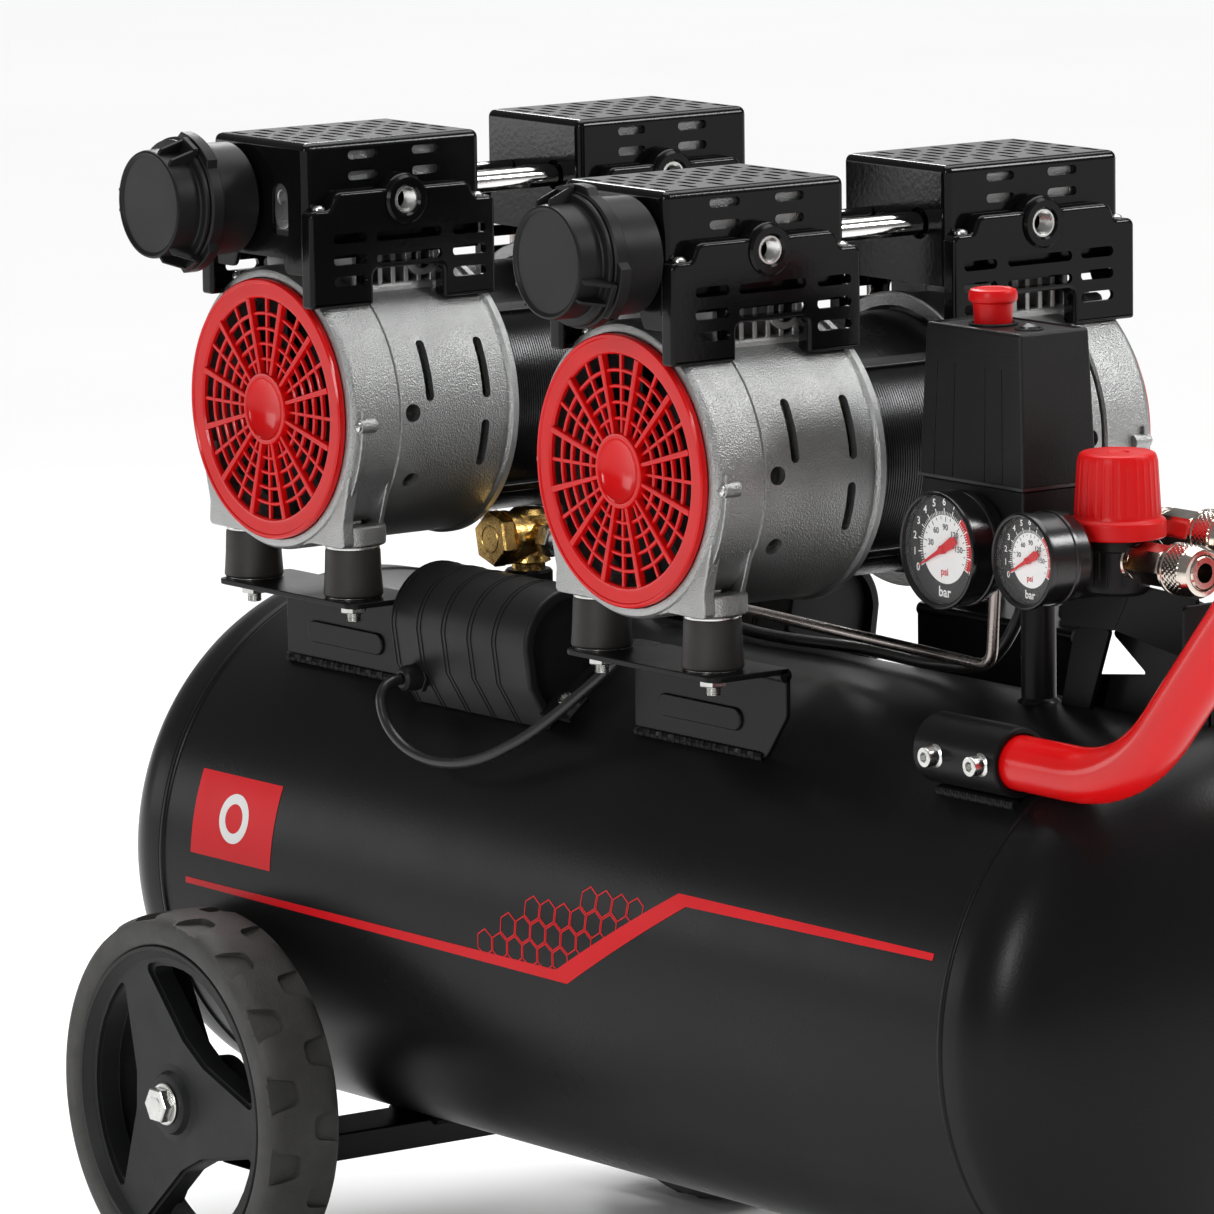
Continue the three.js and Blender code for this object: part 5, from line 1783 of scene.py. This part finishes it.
LEAD = [
    (-141, -123.6, 122), (-141, -129, 121.2), (-140.6, -133.4, 118.6), (-139.4, -136.6, 114.4),
    (-137, -138, 108.5), (-132.5, -138.2, 101.2), (-125, -137.6, 94.4), (-114, -136.6, 89),
    (-98, -135.4, 86), (-80, -133.6, 86.5), (-60, -130.4, 91), (-42, -126.4, 99), (-26, -121.4, 108.5),
    (-12, -115.6, 119.6), (0, -109, 131), (10, -102, 141.6), (19, -95.4, 152),
]


def build_lead():
    """The front capacitor's lead hangs in a shallow bow from its gland to the second motor's bracket."""
    path = smooth(LEAD, 6)
    lead = piece(
        "motor_lead", tube(path, 3, 18), "root", LEAD_SHEATH, slot="lead_sheath",
        replaces=["capacitor_lead"],
    )
    in_frame = [((np.array(p) + TANK) * MM).tolist() for p in path]
    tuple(in_frame[0])


def drain_screw():
    """A wing screw whose stem goes up into the drain's boss."""
    right = [(4, -163, 3), (14, -171, 5), (14, -161.5, 3)]
    outline = [*right, *[(-x, z, r) for x, z, r in reversed(right)]]
    wings = plate("y", rounded(outline, 2), -1.5, 1.5, edge=0.6)
    return join(
        rod("z", 4.6, -163, -146), rod("z", 8, -164, -152.4, steps=40, edge=1), wings,
    ).moved(DRAIN_X)


def build_lines():
    piece("brass_tee", check_valve(), "root", BRASS, ZINC, slot="brass", replaces=["check_valve"])
    piece("welded_bosses", bosses(), "root", BLACK_COAT, slot="tank_paint")
    piece(
        "air_pipe", delivery_pipe(), "root", STEEL_TUBE, BRASS, slot="pipe_steel",
        replaces=["delivery_pipe"], sharp=40,
    )
    piece(
        "thin_tube", relief_tube(), "root", STEEL_TUBE, BRASS, slot="pipe_steel", replaces=["relief_tube"],
        sharp=40,
    )
    piece("black_hose", thin_hose(), "root", LEAD_SHEATH)
    case, tab = ribbed_box(), box_tab()
    front_case = join(case, box_gland())
    piece("capacitor_case", front_case, "root", BLACK_SATIN, slot="box_plastic", replaces=["capacitor_box"])
    piece("capacitor_tab", tab, "root", BLACK_COAT, ZINC)
    piece("rear_capacitor_case", case.mirrored("y"), "root", BLACK_SATIN, slot="box_plastic")
    piece("rear_capacitor_tab", tab.mirrored("y"), "root", BLACK_COAT, ZINC)
    piece("drain_wing", drain_screw(), "drain_screw", BRASS, slot="brass", replaces=["drain_screw"])


# ---------------------------------------------------------------- stage and light
def build_stage():
    """A wide pale floor and an even pale surround."""
    bpy.ops.mesh.primitive_circle_add(vertices=96, radius=60, fill_type="NGON", location=(0, 0, -0.0005))
    floor = bpy.context.object
    floor.name = "floor"
    floor.data.materials.append(
        look(
            "floor", (0.95, 0.95, 0.95), 0.6, grain=4.0, bump=0.01, mottle=0.01, uneven=0.02, patch=900,
            specular=0.2,
        )
    )
    world = bpy.data.worlds.new("surround")
    world.use_nodes = True
    background = world.node_tree.nodes["Background"]
    background.inputs["Color"].default_value = (1, 1, 1, 1)
    rays = add(world.node_tree, "ShaderNodeLightPath")
    strength = add(world.node_tree, "ShaderNodeMapRange")
    strength.inputs["To Min"].default_value = 0.2  # what lights the machine
    strength.inputs["To Max"].default_value = 1.0  # what shows above the floor's edge
    world.node_tree.links.new(rays.outputs["Is Camera Ray"], strength.inputs["Value"])
    world.node_tree.links.new(strength.outputs["Result"], background.inputs["Strength"])
    bpy.context.scene.world = world


LIT_PLACE = Vector((0, 0, 0.35))  # what every softbox faces


def softbox(name, azimuth, elevation, distance, width, height, power):
    """A rectangular light that faces the machine; azimuth 0 is in front (-Y), 90 at its +X end."""
    a, e = math.radians(azimuth), math.radians(elevation)
    light = bpy.data.lights.new(name, "AREA")
    light.shape = "RECTANGLE"
    light.size, light.size_y, light.energy = width, height, power
    lamp = bpy.data.objects.new(name, light)
    away = Vector((math.sin(a) * math.cos(e), -math.cos(a) * math.cos(e), math.sin(e)))
    lamp.location = LIT_PLACE + away * distance
    lamp.rotation_mode = "QUATERNION"
    lamp.rotation_quaternion = away.to_track_quat("Z", "Y")
    lamp.visible_camera = False
    bpy.context.scene.collection.objects.link(lamp)


def daylight(strength, spread):
    """An even light from above that keeps the whole floor pale."""
    light = bpy.data.lights.new("ceiling", "SUN")
    light.energy = strength
    light.angle = math.radians(spread)
    lamp = bpy.data.objects.new("ceiling", light)
    lamp.rotation_euler = (math.radians(-12), math.radians(-10), 0)
    bpy.context.scene.collection.objects.link(lamp)


def build_lights():
    daylight(2.8, 60)
    softbox("key", 26, 20, 2.6, 0.35, 0.9, 16)
    softbox("front", 306, 5, 3.0, 1.1, 0.6, 5)
    softbox("above", 138, 36, 2.6, 0.5, 0.6, 22)
    softbox("rim", 242, 34, 2.6, 0.3, 1.0, 13)
    softbox("back_card", 234, 12, 3.2, 3.2, 1.0, 4)


build_lead()
build_tank()
build_wheels()
for unit_name in "ab":
    build_unit(unit_name)
build_controls()
build_lines()
build_stage()
build_lights()
bpy.context.scene.view_settings.view_transform = "Standard"
for paint in PAINTS:
    bpy.data.materials.remove(paint)
